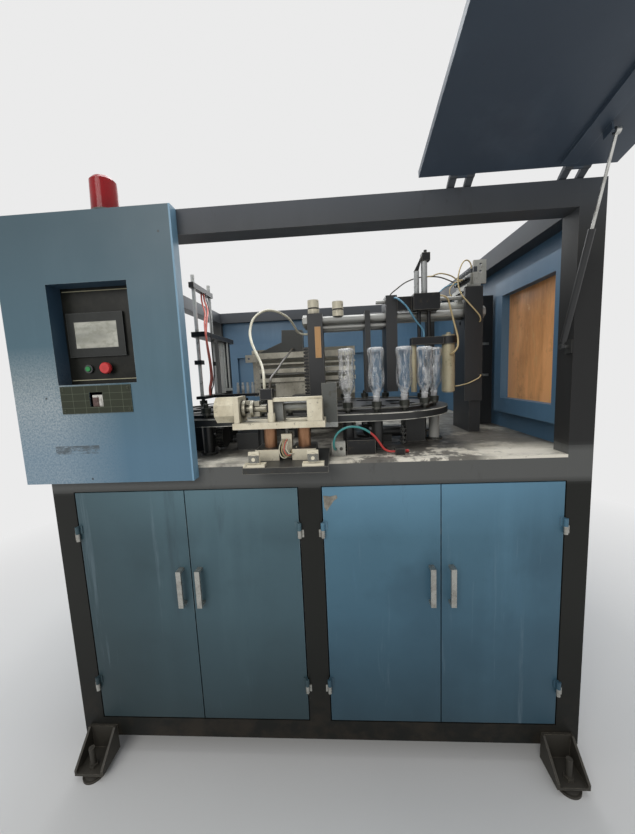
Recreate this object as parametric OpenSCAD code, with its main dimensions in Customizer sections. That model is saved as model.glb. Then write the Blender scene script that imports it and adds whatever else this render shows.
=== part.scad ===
// Two-cavity blow moulding machine for bottles: welded tube frame with a door cabinet below the
// deck, an oval chain of mandrels with its clamp, stretch, oven, lift and turnover units on the
// deck, a control cover at the left and a raised hatch at the right.
// Lengths are millimetres. In the modules X runs right from the frame's left face, Y runs back
// from the frame's front face and Z runs up from the floor.

/* [Frame] */
// Width over the corner posts
frame_w = 1904; // [1700:1:2300]
// Depth over the corner posts
frame_d = 1900; // [1600:1:2400]
// Side of the square tube
tube = 80; // [60:1:90]
// Wall of the square tube
tube_wall = 4; // [2:0.5:6]
// Clear height under the frame
floor_gap = 80; // [70:1:140]
// Height of the door openings
door_opening_h = 934; // [700:1:1100]
// Height of the working opening
work_opening_h = 776; // [760:1:1000]
// Thickness of the deck plate
deck_t = 10; // [5:1:20]

/* [Feet] */
// Centre of a foot, in from the frame's side
foot_in = 78; // [60:1:110]
// Centre of a foot, out from the frame's front or back
foot_out = 75; // [65:1:95]
// Width of a foot bracket
bracket_w = 110; // [90:1:140]
// Plate thickness of a foot bracket
bracket_t = 8; // [5:1:12]
// Height of a foot bracket's gussets
bracket_h = 105; // [80:1:130]
// Diameter of a foot pad
pad_d = 80; // [60:1:100]
// Diameter of a levelling screw
foot_screw_d = 20; // [12:1:24]

/* [Doors] */
// Gap round each door
door_gap = 4; // [3:0.5:6]
// Depth of the folded door tray
door_t = 22; // [15:1:30]
// Sheet thickness of doors and panels
sheet_t = 2; // [1:0.5:3]
// Diameter of a hinge barrel
barrel_d = 15; // [12:0.5:20]
// Length of one half of a hinge barrel
barrel_h = 28; // [20:1:50]
// Diameter of a hinge pin
pin_d = 6; // [4:0.5:8]
// Distance of each hinge from the door's end
hinge_inset = 158; // [80:1:250]
// Length of a door handle
handle_h = 142; // [100:1:200]
// Width of a door handle
handle_w = 18; // [10:1:24]
// Reach of a door handle from the door
handle_reach = 34; // [25:1:50]
// Distance of a handle from the door's free edge
handle_inset = 33; // [15:1:60]

/* [Control cover] */
// Left edge of the cover, out from the frame's side
cover_over = 52; // [0:1:80]
// Width of the cover
cover_w = 610; // [560:1:700]
// Drop of the cover's lower edge below the deck
cover_drop = 44; // [20:1:60]
// Depth of the cover in front of the frame
cover_t = 42; // [30:1:60]
// Left edge of the recess, from the frame's side
recess_x = 113; // [90:1:140]
// Width of the recess
recess_w = 278; // [250:1:300]
// Height of the recess
recess_h = 332; // [300:1:380]
// Top of the recess, below the frame's top
recess_drop = 222; // [180:1:260]
// Depth of the recess
recess_t = 65; // [50:1:90]
// Depth of the enclosure behind the cover
enclosure_t = 110; // [80:1:112]

/* [Beacon] */
// Diameter of the beacon
beacon_d = 88; // [70:1:100]
// Height of the beacon
beacon_h = 132; // [110:1:160]

/* [Side window] */
// Back edge of the window frame
window_back = 615; // [500:1:700]
// Bottom of the window frame above the deck
window_sill = 84; // [40:1:120]
// Height of the window frame
window_h = 612; // [500:1:640]
// Width of the window frame's bars
window_bar = 68; // [40:1:90]
// Depth of the window frame
window_t = 40; // [20:1:44]
// Thickness of the pane
pane_t = 5; // [3:1:8]

/* [Hatch] */
// Width of the hatch
hatch_w = 572; // [500:1:650]
// Length of the hatch from its hinge
hatch_l = 868; // [700:1:880]
// Depth of the folded hatch tray
hatch_t = 20; // [15:1:30]
// Hinge axis in front of the beam
hatch_axis_out = 20; // [18:1:30]
// Hinge axis above the beam's top
hatch_axis_up = 24; // [15:1:40]
// Inner face of the hatch, off the hinge axis
hatch_face_off = 5; // [3:0.5:6]
// Tilt of the raised hatch above level
hatch_tilt = 12.7; // [5:0.1:20]
// Width of the hatch stiffener
stiffener_w = 45; // [30:1:60]
// Depth of the hatch stiffener
stiffener_t = 11; // [6:1:12]

/* [Gas strut] */
// Diameter of the strut's cylinder
strut_d = 18; // [14:1:20]
// Diameter of the strut's rod
strut_rod_d = 8; // [6:1:10]
// Closed length of the strut
strut_closed = 383; // [383:1:383]
// Lower pin of the strut above the deck
strut_pin_up = 355; // [340:1:370]
// Lower pin of the strut behind the frame's front face
strut_pin_in = 17; // [10:1:30]
// Upper pin along the hatch from its hinge
strut_pin_along = 142; // [130:1:150]
// Upper pin off the hatch's inner face
strut_pin_off = 22; // [18:1:26]

/* [Chain track] */
// Radius of the chain's end turns
track_r = 290; // [280:1:296]
// Stations in one end turn
turn_stations = 8; // [8:2:8]
// Stations along one straight
straight_stations = 6; // [5:1:6]
// Centre of the right turn, in from the right post
track_in = 610; // [604:1:624]
// Centre line of the oval from the frame's front face
track_y = 467; // [460:1:480]
// Width of the oval guide plate
track_w = 110; // [100:1:116]
// Thickness of the oval guide plate
track_t = 30; // [15:1:40]
// Top of the oval guide plate above the deck
track_up = 147; // [130:1:160]
// Diameter of a mandrel's stem
stem_d = 20; // [16:1:22]
// Diameter of a mandrel's head
mandrel_d = 40; // [36:1:46]
// Height of a mandrel's head
mandrel_h = 20; // [12:1:24]
// Thickness of a chain link
link_t = 5; // [3:0.5:6]
// Thickness of a star wheel
wheel_t = 10; // [6:1:12]
// Diameter of a wheel's shaft
wheel_shaft_d = 30; // [20:1:40]

/* [Bottles] */
// Height of a bottle
bottle_h = 206; // [180:1:230]
// Diameter of a bottle
bottle_d = 64; // [55:1:70]
// Wall of a bottle
bottle_wall = 1.2; // [0.8:0.1:2]

/* [Clamp unit] */
// Front face of the clamp plates
clamp_y = 480; // [470:1:500]
// Depth of the clamp plates
clamp_depth = 150; // [140:1:160]
// Thickness of the fixed clamp plates
clamp_plate_t = 51; // [40:1:56]
// Thickness of the moving platen
platen_t = 24; // [18:1:32]
// Height of the left plate above the deck
clamp_h_left = 585; // [560:1:620]
// Height of the middle plate above the deck
clamp_h_mid = 647; // [630:1:680]
// Height of the end plate above the deck
clamp_h_end = 662; // [645:1:670]
// Diameter of the upper tie bars
tie_d = 36; // [30:1:38]
// Height of the upper tie bars above the deck
tie_up = 554; // [540:1:560]
// Diameter of the clamp cylinder
clamp_cyl_d = 72; // [60:1:73]
// Travel of the moving platen
platen_travel = 60; // [20:1:65]

/* [Stretch unit] */
// Diameter of the stretch cylinder
stretch_d = 27; // [20:1:32]
// Travel of the stretch rod
stretch_travel = 120; // [60:1:125]

/* [Oven] */
// Length of the oven
oven_l = 560; // [480:1:720]
// Number of heating lamps
lamp_count = 7; // [4:1:7]
// Distance between heating lamps
lamp_pitch = 30; // [26:1:31]
// Diameter of a heating lamp
lamp_d = 12; // [8:1:16]

/* [Lift unit] */
// Diameter of the lift's guide rods
lift_rod_d = 17; // [12:1:20]
// Travel of the lift
lift_travel = 100; // [60:1:105]

/* [Turnover unit] */
// Travel of the turnover plate
plate_travel = 40; // [20:1:45]
// Diameter of the bronze guide bushes
bush_d = 44; // [38:1:50]
// Diameter of the guide shafts
guide_d = 30; // [20:1:32]
// Diameter of the turnover shaft
turn_d = 26; // [16:1:30]
// Width of the turnover plate
turn_plate_w = 327; // [315:1:335]

/* [Fits] */
// Radial clearance of a running fit
run_fit = 0.05; // [0.02:0.01:0.1]
// Gap between moving faces
move_gap = 0.3; // [0.2:0.05:0.5]

/* [Hidden] */
$fn = 48;
eps = 0.01;

// Heights of the frame
z_base = floor_gap + tube;
z_rail = z_base + door_opening_h;
z_plate = z_rail + tube;
z_deck = z_plate + deck_t;
z_beam = z_plate + deck_t + work_opening_h;
z_top = z_beam + tube;
// Inner ends of the frame
x_right = frame_w - tube;
y_back = frame_d - tube;
mid_x = frame_w / 2 - tube / 2;
// Doors
opening_w = mid_x - tube;
door_w = (opening_w - 3 * door_gap) / 2;
door_h = door_opening_h - 2 * door_gap;
axis_y = -barrel_d / 2 - move_gap;
// Control cover
z_cover = z_deck - cover_drop;
z_recess = z_top - recess_drop - recess_h;
x_cover = -cover_over;
cover_right = x_cover + cover_w;
// Hatch axis
hatch_y = -hatch_axis_out;
hatch_z = z_top + hatch_axis_up;
hatch_x = frame_w - hatch_w;
// Strut
strut_x = x_right - 24;
strut_y0 = strut_pin_in;
strut_z0 = z_deck + strut_pin_up;
open_turn = 90 + hatch_tilt;
strut_y1 = hatch_y + (hatch_face_off + strut_pin_off) * cos(-open_turn)
    + strut_pin_along * sin(-open_turn);
strut_z1 = hatch_z + (hatch_face_off + strut_pin_off) * sin(-open_turn)
    - strut_pin_along * cos(-open_turn);
strut_open = sqrt(pow(strut_y1 - strut_y0, 2) + pow(strut_z1 - strut_z0, 2));
strut_lean = atan2(strut_y0 - strut_y1, strut_z1 - strut_z0);
// Chain track
track_x = x_right - track_in;
station_turn = 180 / turn_stations;
pitch = 2 * track_r * sin(station_turn / 2);
track_x2 = track_x - straight_stations * pitch;
station_count = 2 * (turn_stations + straight_stations);
z_track = z_deck + track_up;
z_wheel = z_track + move_gap;
z_link = z_wheel + wheel_t + move_gap;
link_gap = 0.2;
z_head = z_link + 2 * (link_t + link_gap);
z_neck = z_head + mandrel_h;
// Clamp unit
x_end_plate = x_right - 146;
x_mid_plate = x_end_plate - 378;
x_platen = x_mid_plate - 97;
x_left_plate = x_mid_plate - 367;
end_plate_t = 50;
z_plates = z_neck + 18;
z_tie = z_deck + tie_up;
z_guide = z_tie - 35;
z_piston = z_tie + 23;
z_top_rod = z_tie + 68;
rod_y0 = clamp_y + clamp_depth / 2;
tie_y = [clamp_y + 25, clamp_y + clamp_depth - 25];
// Stretch unit
stretch_x = x_mid_plate + 171;
stretch_y = clamp_y - 12;
z_stretch = z_deck + 567;
// Lift unit
lift_x = 414;
lift_y = [452, 650];
z_lift_head = z_deck + 722;
// Turnover unit
turn_x = 708;
turn_y = 4;
base_y = -138;
z_turn_plate = z_deck + 128;
turn_plate_t = 21;
z_turn = z_turn_plate + turn_plate_t + 44;
bush_x = [turn_x + 117, turn_x + 235];
// Routes of the free hoses
white_route = [[820, -26, 1445], [820, -26, 1457], [820, -26, 1469], [816, -8, 1492], [798, 50, 1530],
    [768, 100, 1578], [744, 143, 1624], [732, 187, 1666], [737, 230, 1715], [764, 273, 1750],
    [794, 317, 1763], [829, 360, 1757], [860, 403, 1737], [878, 456, 1706], [888, 494, 1684],
    [903, 508, 1678], [918, 508, 1678], [933, 508, 1678]];
grey_route = [[838, -26, 1445], [838, -26, 1455], [838, -26, 1465], [837, 4, 1478], [828, 100, 1490],
    [818, 268, 1514], [821, 417, 1556], [830, 566, 1598], [834, 640, 1620], [835, 678, 1626],
    [835, 692, 1626], [835, 706, 1626]];
red_route = [[420, 562, 1906], [420, 562, 1894], [420, 562, 1882], [430, 548, 1858], [454, 506, 1812],
    [470, 440, 1756], [476, 400, 1690], [476, 404, 1625], [468, 440, 1560], [450, 488, 1490],
    [430, 514, 1446], [426, 520, 1430], [426, 520, 1418], [426, 520, 1406]];
cream_route = [[1531, 440, 1808], [1541, 440, 1808], [1551, 440, 1808], [1566, 440, 1798], [1576, 440, 1760],
    [1592, 434, 1690], [1606, 424, 1620], [1600, 412, 1572], [1586, 412, 1554], [1580, 423, 1550],
    [1580, 434, 1550], [1580, 445, 1550]];
blue_route = [[1338, 480, 1815], [1338, 470, 1815], [1338, 460, 1815], [1343, 444, 1810], [1360, 434, 1794],
    [1382, 430, 1770], [1404, 432, 1738], [1426, 440, 1706], [1450, 450, 1680], [1464, 456, 1662],
    [1466, 456, 1650], [1466, 456, 1641], [1466, 456, 1632]];
front_route = [[1048, 77, 1212], [1048, 62, 1212], [1048, 47, 1212], [1044, 30, 1226], [1044, 22, 1250],
    [1058, 28, 1276], [1086, 40, 1292], [1120, 50, 1294], [1156, 58, 1282], [1190, 64, 1256],
    [1214, 70, 1222], [1228, 72, 1202], [1240, 72, 1195], [1252, 72, 1195], [1264, 72, 1195]];

// Place of chain station k, counted from the front of the right turn
function station(k) =
    k <= turn_stations
    ? [track_x + track_r * sin(k * station_turn), track_y - track_r * cos(k * station_turn)]
    : k < turn_stations + straight_stations
    ? [track_x - (k - turn_stations) * pitch, track_y + track_r]
    : k <= 2 * turn_stations + straight_stations
    ? [track_x2 + track_r * sin((k - straight_stations) * station_turn),
       track_y - track_r * cos((k - straight_stations) * station_turn)]
    : [track_x2 + (k - 2 * turn_stations - straight_stations) * pitch, track_y - track_r];

// Row frame: origin under the front left foot
module place() {
    translate([-foot_in, foot_out, 0]) children();
}

module rod_x(d, l) {
    rotate([0, 90, 0]) cylinder(d = d, h = l);
}

module rod_y(d, l) {
    rotate([-90, 0, 0]) cylinder(d = d, h = l);
}

// Square tube along Z, closed at the top
module post(h) {
    difference() {
        cube([tube, tube, h]);
        translate([tube_wall, tube_wall, -1])
            cube([tube - 2 * tube_wall, tube - 2 * tube_wall, h + 1 - tube_wall]);
    }
}

// Square tube along X, open at both ends
module rail_x(l) {
    difference() {
        cube([l, tube, tube]);
        translate([-1, tube_wall, tube_wall])
            cube([l + 2, tube - 2 * tube_wall, tube - 2 * tube_wall]);
    }
}

// Square tube along Y, open at both ends
module rail_y(l) {
    difference() {
        cube([tube, l, tube]);
        translate([tube_wall, -1, tube_wall])
            cube([tube - 2 * tube_wall, l + 2, tube - 2 * tube_wall]);
    }
}

// Folded sheet tray, open towards +Y
module tray(w, d, h) {
    difference() {
        cube([w, d, h]);
        translate([sheet_t, sheet_t, sheet_t]) cube([w - 2 * sheet_t, d, h - 2 * sheet_t]);
    }
}

module frame_posts() {
    color("#4b4b48") {
        for (x = [0, x_right], y = [0, y_back])
            translate([x, y, floor_gap]) post(z_top - floor_gap);
        for (y = [0, y_back])
            translate([mid_x, y, z_base]) post(door_opening_h);
    }
}

module frame_rails() {
    color("#4b4b48")
        for (z = [floor_gap, z_rail, z_beam]) {
            for (y = [0, y_back])
                translate([tube, y, z]) rail_x(x_right - tube);
            for (x = [0, x_right])
                translate([x, tube, z]) rail_y(y_back - tube);
        }
}

module deck_plate() {
    color("#d8d0bd")
        difference() {
            translate([0, 0, z_plate]) cube([frame_w, frame_d, deck_t]);
            for (x = [-eps, x_right], y = [-eps, y_back])
                translate([x, y, z_plate - 1]) cube([tube + eps, tube + eps, deck_t + 2]);
        }
}

// Fixed trays that close the cabinet's sides and back
module base_panels() {
    side_l = (y_back - tube) / 2;
    color("#5d7f96") {
        for (k = [0, 1]) {
            translate([tube - 10, tube + k * side_l, z_base]) rotate([0, 0, 90])
                tray(side_l - (1 - k) * 2, door_t, door_opening_h);
            translate([x_right + 10, tube + (k + 1) * side_l, z_base]) rotate([0, 0, -90])
                tray(side_l - k * 2, door_t, door_opening_h);
        }
        for (x = [tube, mid_x + tube])
            translate([x + opening_w, frame_d - 10, z_base]) rotate([0, 0, 180])
                tray(opening_w, door_t, door_opening_h);
    }
}

// Left edge and hinge side of door k
function door_left(k) = tube + door_gap + (k % 2) * (door_w + door_gap) + (k > 1 ? opening_w + tube : 0);
function door_axis(k) = k % 2 == 0 ? door_left(k) - door_gap / 2 : door_left(k) + door_w + door_gap / 2;
function hinge_z(j) = z_base + (j == 0 ? hinge_inset : door_opening_h - hinge_inset);

// Upper half of a weld-on hinge, with the strap that joins it to the door
module door_barrel(k, j) {
    side = k % 2 == 0 ? 1 : -1;
    translate([door_axis(k), axis_y, hinge_z(j)])
        difference() {
            union() {
                cylinder(d = barrel_d, h = barrel_h);
                translate([side > 0 ? 0 : -barrel_d, barrel_d / 2 - 3 + move_gap, 0])
                    cube([barrel_d, 3 + 1, barrel_h]);
            }
            translate([0, 0, -1]) cylinder(d = pin_d + 2 * run_fit, h = barrel_h - 3);
            translate([side > 0 ? -barrel_d : door_gap / 2, 0, -1])
                cube([barrel_d - door_gap / 2, barrel_d, barrel_h + 2]);
        }
}

module door(k) {
    color("#6189a3") {
        translate([door_left(k), 1, z_base + door_gap]) tray(door_w, door_t, door_h);
        for (j = [0, 1]) door_barrel(k, j);
    }
}

// Square bracket handle of flat bar
module door_handle(k) {
    x = k % 2 == 0 ? door_left(k) + door_w - handle_inset : door_left(k) + handle_inset;
    bar = 9;
    color("#b9bcb8")
        translate([x - handle_w / 2, 1 - handle_reach, z_base + 565 - handle_h / 2])
            difference() {
                cube([handle_w, handle_reach, handle_h]);
                translate([-1, bar, bar]) cube([handle_w + 2, handle_reach, handle_h - 2 * bar]);
            }
}

// Lower hinge halves with their pins, welded to the posts
module hinge_pins() {
    color("#7c7f7c")
        for (k = [0:3], j = [0, 1]) {
            side = k % 2 == 0 ? -1 : 1;
            translate([door_axis(k), axis_y, hinge_z(j)]) {
                difference() {
                    union() {
                        translate([0, 0, -barrel_h]) cylinder(d = barrel_d, h = barrel_h - move_gap);
                        translate([side > 0 ? 0 : -barrel_d, barrel_d / 2 - 3 + move_gap, -barrel_h])
                            cube([barrel_d, 3, barrel_h - move_gap]);
                    }
                    translate([side > 0 ? -barrel_d : door_gap / 2, 0, -barrel_h - 1])
                        cube([barrel_d - door_gap / 2, barrel_d, barrel_h + 2]);
                }
                translate([0, 0, -barrel_h]) cylinder(d = pin_d, h = 2 * barrel_h - 6);
            }
        }
}

// Gusset pair with a sole plate that carries the levelling screw
module foot_bracket() {
    sole_z = 24;
    reach = foot_out + 30;
    difference() {
        union() {
            for (x = [-bracket_w / 2, bracket_w / 2 - bracket_t])
                translate([x, 0, 0]) rotate([90, 0, 90])
                    linear_extrude(bracket_t)
                        polygon([[0, sole_z], [-reach, sole_z], [-reach, sole_z + 22],
                            [-14, sole_z + bracket_h], [0, sole_z + bracket_h]]);
            translate([-bracket_w / 2, -reach, sole_z]) cube([bracket_w, reach, 10]);
            translate([-bracket_w / 2, -bracket_t, sole_z])
                cube([bracket_w, bracket_t, bracket_h]);
        }
        translate([0, -foot_out, sole_z - 1]) cylinder(d = foot_screw_d + 1, h = 20);
    }
}

module at_feet() {
    for (x = [foot_in, frame_w - foot_in]) {
        translate([x, 0, 0]) children();
        translate([x, frame_d, 0]) rotate([0, 0, 180]) children();
    }
}

module foot_brackets() {
    color("#55554f") at_feet() foot_bracket();
}

module levelling_feet() {
    color("#6f6f68")
        at_feet() translate([0, -foot_out, 0]) {
            cylinder(d = pad_d, h = 8);
            translate([0, 0, 8]) cylinder(d1 = pad_d - 16, d2 = foot_screw_d + 8, h = 8);
            cylinder(d = foot_screw_d, h = 112);
            translate([0, 0, 34]) cylinder(d = 34, h = 12, $fn = 6);
            translate([0, 0, 16]) cylinder(d = 34, h = 8, $fn = 6);
        }
}

module control_cover() {
    rim = 16;
    z_cut = z_recess - 77;
    color("#5d88a3") {
        difference() {
            translate([x_cover, -cover_t, z_cover]) cube([cover_w, cover_t, z_top - z_cover]);
            translate([x_cover + sheet_t, -cover_t + sheet_t, z_cover + sheet_t])
                cube([cover_w - 2 * sheet_t, cover_t, z_top - z_cover - 2 * sheet_t]);
            translate([recess_x, -cover_t - 1, z_recess]) cube([recess_w, 10, recess_h]);
            translate([recess_x + 106, -cover_t - 1, z_cut]) cube([48, 10, 50]);
        }
        // Reveal round the recess
        translate([recess_x, -cover_t + sheet_t, z_recess])
            difference() {
                translate([-sheet_t, 0, -sheet_t])
                    cube([recess_w + 2 * sheet_t, recess_t - sheet_t, recess_h + 2 * sheet_t]);
                translate([0, -1, 0]) cube([recess_w, recess_t + 2, recess_h]);
            }
        // Rear flanges that bolt the cover to the frame
        for (z = [z_cover + sheet_t, z_top - sheet_t - rim])
            translate([x_cover + sheet_t, -sheet_t, z]) cube([cover_w - 2 * sheet_t, sheet_t, rim]);
    }
}

// Open-fronted box behind the cover
module enclosure() {
    w = cover_right - 106 - tube - 4;
    color("#567c95")
        translate([tube + 4, 0, z_deck])
            difference() {
                cube([w, enclosure_t, z_beam - z_deck - 6]);
                translate([3, -1, 3]) cube([w - 6, enclosure_t - 2, z_beam - z_deck - 12]);
            }
}

module panel_plate() {
    color("#17191a")
        difference() {
            translate([recess_x + move_gap, recess_t - cover_t - 3, z_recess + move_gap])
                cube([recess_w - 2 * move_gap, 3, recess_h - 2 * move_gap]);
            for (x = button_x)
                translate([x, recess_t - cover_t - 4, z_buttons]) rod_y(22.5, 5);
        }
}

panel_y = recess_t - cover_t - 3;
button_x = [recess_x + 74, recess_x + 146];
z_buttons = z_recess + 54;
z_bezel = z_recess + 96;
bezel_w = 204;
bezel_h = 150;

module screen_bezel() {
    x = recess_x + (recess_w - bezel_w) / 2 - 21;
    color("#2a2c2d")
        translate([x, panel_y - 10, z_bezel])
            difference() {
                cube([bezel_w, 10, bezel_h]);
                translate([25, -1, 30]) cube([154, 5, 90]);
            }
}

module screen() {
    x = recess_x + (recess_w - bezel_w) / 2 - 21;
    color("#c9cfd0")
        translate([x + 25, panel_y - 8, z_bezel + 30]) cube([154, 2, 90]);
}

module button_collars() {
    color("#9a9d9c")
        for (x = button_x)
            translate([x, panel_y - 8, z_buttons])
                difference() {
                    union() {
                        rod_y(30, 8);
                        rod_y(22, 30);
                    }
                    translate([0, -1, 0]) rod_y(18 + 2 * run_fit, 26);
                }
}

module start_button() {
    color("#2f7d3c")
        translate([button_x[0], panel_y - 12.5, z_buttons]) {
            translate([0, 1, 0]) rod_y(18, 23);
            rotate([-90, 0, 0]) cylinder(d1 = 16, d2 = 18, h = 1);
        }
}

module stop_button() {
    color("#b5222a")
        translate([button_x[1], panel_y - 28, z_buttons]) {
            rod_y(18, 40);
            rotate([-90, 0, 0]) cylinder(d1 = 34, d2 = 40, h = 5);
            translate([0, 5, 0]) rod_y(40, 8);
        }
}

// Smoked plate with a window and its four screws
module smoked_cover() {
    x0 = recess_x + 5;
    w = 250;
    h = 94;
    color("#2c2f22")
        difference() {
            union() {
                translate([x0, -cover_t - 3, z_recess - 99]) cube([w, 3, h]);
                for (x = [10, w - 10], z = [10, h - 10])
                    translate([x0 + x, -cover_t - 5, z_recess - 99 + z]) rod_y(8, 2);
            }
            translate([x0 + 101, -cover_t - 4, z_recess - 77]) cube([48, 6, 50]);
        }
}

beacon_x = 298;

module beacon_base() {
    color("#6b6a66")
        translate([beacon_x, tube / 2, z_top]) {
            cylinder(d = beacon_d - 4, h = 6);
            translate([0, 0, 6]) cylinder(d = beacon_d - 14, h = 18);
            translate([0, 0, 20]) cylinder(d = beacon_d, h = 4);
            translate([0, 0, 24]) cylinder(d = 26, h = 40);
        }
}

module beacon_lens() {
    h = beacon_h - 24;
    color("#c21f26")
        translate([beacon_x, tube / 2, z_top + 24])
            rotate_extrude()
                difference() {
                    polygon([[0, 0], [beacon_d / 2, 0], [beacon_d / 2 - 3, h - 12],
                        [beacon_d / 2 - 12, h - 2], [20, h], [0, h]]);
                    polygon([[0, -1], [beacon_d / 2 - 3, -1], [beacon_d / 2 - 6, h - 14],
                        [beacon_d / 2 - 14, h - 5], [0, h - 3]]);
                }
}

x_wall = frame_w - 14;
z_window = z_deck + window_sill;

// Welded frame that stands inside the right wall
module window_frame() {
    color("#4f7f9e")
        translate([x_wall - window_t, tube, z_window])
            difference() {
                cube([window_t, window_back - tube, window_h]);
                translate([-1, window_bar, window_bar])
                    cube([window_t + 2, window_back - tube - 2 * window_bar, window_h - 2 * window_bar]);
            }
}

module window_pane() {
    color("#c08a4e")
        translate([x_wall - pane_t, tube + window_bar, z_window + window_bar])
            cube([pane_t, window_back - tube - 2 * window_bar, window_h - 2 * window_bar]);
}

// Wall sheets above the deck: right side and back
module wall_panels() {
    rear_w = mid_x - tube + tube / 2;
    color("#4f7f9e") {
        difference() {
            translate([x_wall, tube, z_deck]) cube([sheet_t, y_back - tube, z_beam - z_deck]);
            translate([x_wall - 1, tube + window_bar, z_window + window_bar])
                cube([4, window_back - tube - 2 * window_bar, window_h - 2 * window_bar]);
        }
        for (k = [0, 1])
            translate([tube + k * rear_w, y_back + 50, z_deck]) {
                cube([rear_w - 1 + k, sheet_t, z_beam - z_deck]);
                difference() {
                    translate([20, -30, 86]) cube([rear_w - 40, 30, 500]);
                    translate([120, -31, 134]) cube([rear_w - 240, 32, 340]);
                }
            }
    }
}

// Hatch as it hangs closed: hinge axis at the origin, inner face towards +Y
module hatch_hang() {
    translate([0, hatch_y, hatch_z]) rotate([-open_turn, 0, 0]) children();
}

hinge_xs = [hatch_x + 132, hatch_x + 467];
knuckle_d = 14;

module hatch_panel() {
    color("#5a6b7a")
        hatch_hang() {
            translate([hatch_x, hatch_face_off, -hatch_l]) mirror([0, 1, 0]) {
                difference() {
                    cube([hatch_w, hatch_t, hatch_l - 10]);
                    translate([sheet_t, sheet_t, sheet_t])
                        cube([hatch_w - 2 * sheet_t, hatch_t, hatch_l - 10 - 2 * sheet_t]);
                }
            }
            // Hinge leaf and middle knuckle
            for (x = hinge_xs)
                difference() {
                    union() {
                        translate([x - 14, 0, 0]) rod_x(knuckle_d, 28);
                        translate([x - 14, 0, -14]) cube([28, 5, 14]);
                        translate([x - 36, 1, -40]) cube([72, 4, 32]);
                    }
                    translate([x - 15, 0, 0]) rod_x(pin_d + 2 * run_fit, 30);
                }
        }
}

stiffener_x = strut_x - 14 - 9 - stiffener_w;

// Hat-section stiffener along the hatch, with the strut's upper bracket
module hatch_stiffener() {
    color("#5a6b7a")
        hatch_hang() {
            difference() {
                translate([stiffener_x, hatch_face_off - sheet_t / 2, -hatch_l + 30])
                    cube([stiffener_w, stiffener_t + sheet_t / 2, hatch_l - 60]);
                translate([stiffener_x + sheet_t, hatch_face_off, -hatch_l + 29])
                    cube([stiffener_w - 2 * sheet_t, stiffener_t - sheet_t, hatch_l]);
            }
            translate([stiffener_x + stiffener_w, hatch_face_off - sheet_t / 2, -strut_pin_along - 16])
                cube([4, strut_pin_off + 10 + sheet_t / 2, 32]);
            translate([stiffener_x + stiffener_w + 4, hatch_face_off + strut_pin_off, -strut_pin_along])
                rod_x(8, strut_x + 8 - stiffener_x - stiffener_w - 4);
        }
}

// Hinge blocks on the beam and the strut's lower stud on the post
module hatch_hardware() {
    color("#4b4b48") {
        for (x = hinge_xs) {
            translate([x - 37, 8, z_top]) cube([74, 40, 5]);
            for (s = [-1, 1])
                translate([x + s * 25.5 - 11, 0, 0])
                    difference() {
                        union() {
                            translate([0, hatch_y, hatch_z]) rod_x(knuckle_d, 22);
                            translate([0, 0, 0]) rotate([90, 0, 90]) linear_extrude(22)
                                polygon([[hatch_y, hatch_z - 7], [hatch_y + 4, hatch_z - 7],
                                    [10, z_top + 1], [18, z_top + 1], [18, z_top + 6],
                                    [hatch_y + 8, hatch_z + 6], [hatch_y, hatch_z + 7]]);
                        }
                        translate([-1, hatch_y, hatch_z]) rod_x(pin_d, 24);
                    }
            translate([x - 36.5, hatch_y, hatch_z]) rod_x(pin_d, 73);
        }
        translate([strut_x + 7 + move_gap, strut_y0, strut_z0])
            rod_x(10, x_right - strut_x - 7 - move_gap);
        translate([x_right - 5, strut_y0 - 16, strut_z0 - 22]) cube([5, 32, 44]);
    }
}

// Strut parts, drawn up from the lower pin and leaned to the raised place
module strut_line() {
    translate([strut_x, strut_y0, strut_z0]) rotate([strut_lean, 0, 0]) children();
}

module strut_cylinder() {
    color("#18191a")
        strut_line() {
            translate([-7, 0, 0]) rod_x(16, 14);
            cylinder(d = 10, h = 20);
            translate([0, 0, 18])
                difference() {
                    cylinder(d = strut_d, h = strut_closed - 62);
                    translate([0, 0, 6])
                        cylinder(d = strut_rod_d + 2 * run_fit, h = strut_closed);
                }
        }
}

module strut_rod() {
    color("#c9cdd0")
        strut_line()
            difference() {
                union() {
                    translate([0, 0, strut_open - strut_closed + 50])
                        cylinder(d = strut_rod_d, h = strut_closed - 56);
                    translate([-6, 0, strut_open]) rod_x(18, 12);
                }
                translate([-7, 0, strut_open]) rod_x(8 + 2 * run_fit, 14);
            }
}

module oval(r) {
    translate([track_x2, track_y - r]) square([track_x - track_x2, 2 * r]);
    translate([track_x, track_y]) circle(r = r, $fn = 96);
    translate([track_x2, track_y]) circle(r = r, $fn = 96);
}

leg_stations = [0, 3, 5, 8, 10, 12, 14, 17, 19, 22, 24, 27];
// The legs end just under the plate, so that each is a solid of its own
leg_gap = 0.05;

// Oval guide plate, its legs and the bearings of the star wheels
module track() {
    color("#3c3d3c") {
        translate([0, 0, z_track - track_t]) linear_extrude(track_t)
            difference() {
                oval(track_r + track_w / 2);
                oval(track_r - track_w / 2);
            }
        for (k = leg_stations)
            translate([station(k)[0], station(k)[1], z_deck]) {
                cylinder(d = 44, h = track_up - track_t - leg_gap);
                cylinder(d = 70, h = 8);
            }
        for (x = [track_x, track_x2])
            translate([x, track_y, z_deck])
                difference() {
                    union() {
                        cylinder(d = 130, h = 12);
                        cylinder(d = 70, h = 60);
                    }
                    translate([0, 0, -1]) cylinder(d = wheel_shaft_d + 2 * run_fit, h = 62);
                }
        index_drive();
    }
}

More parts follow.
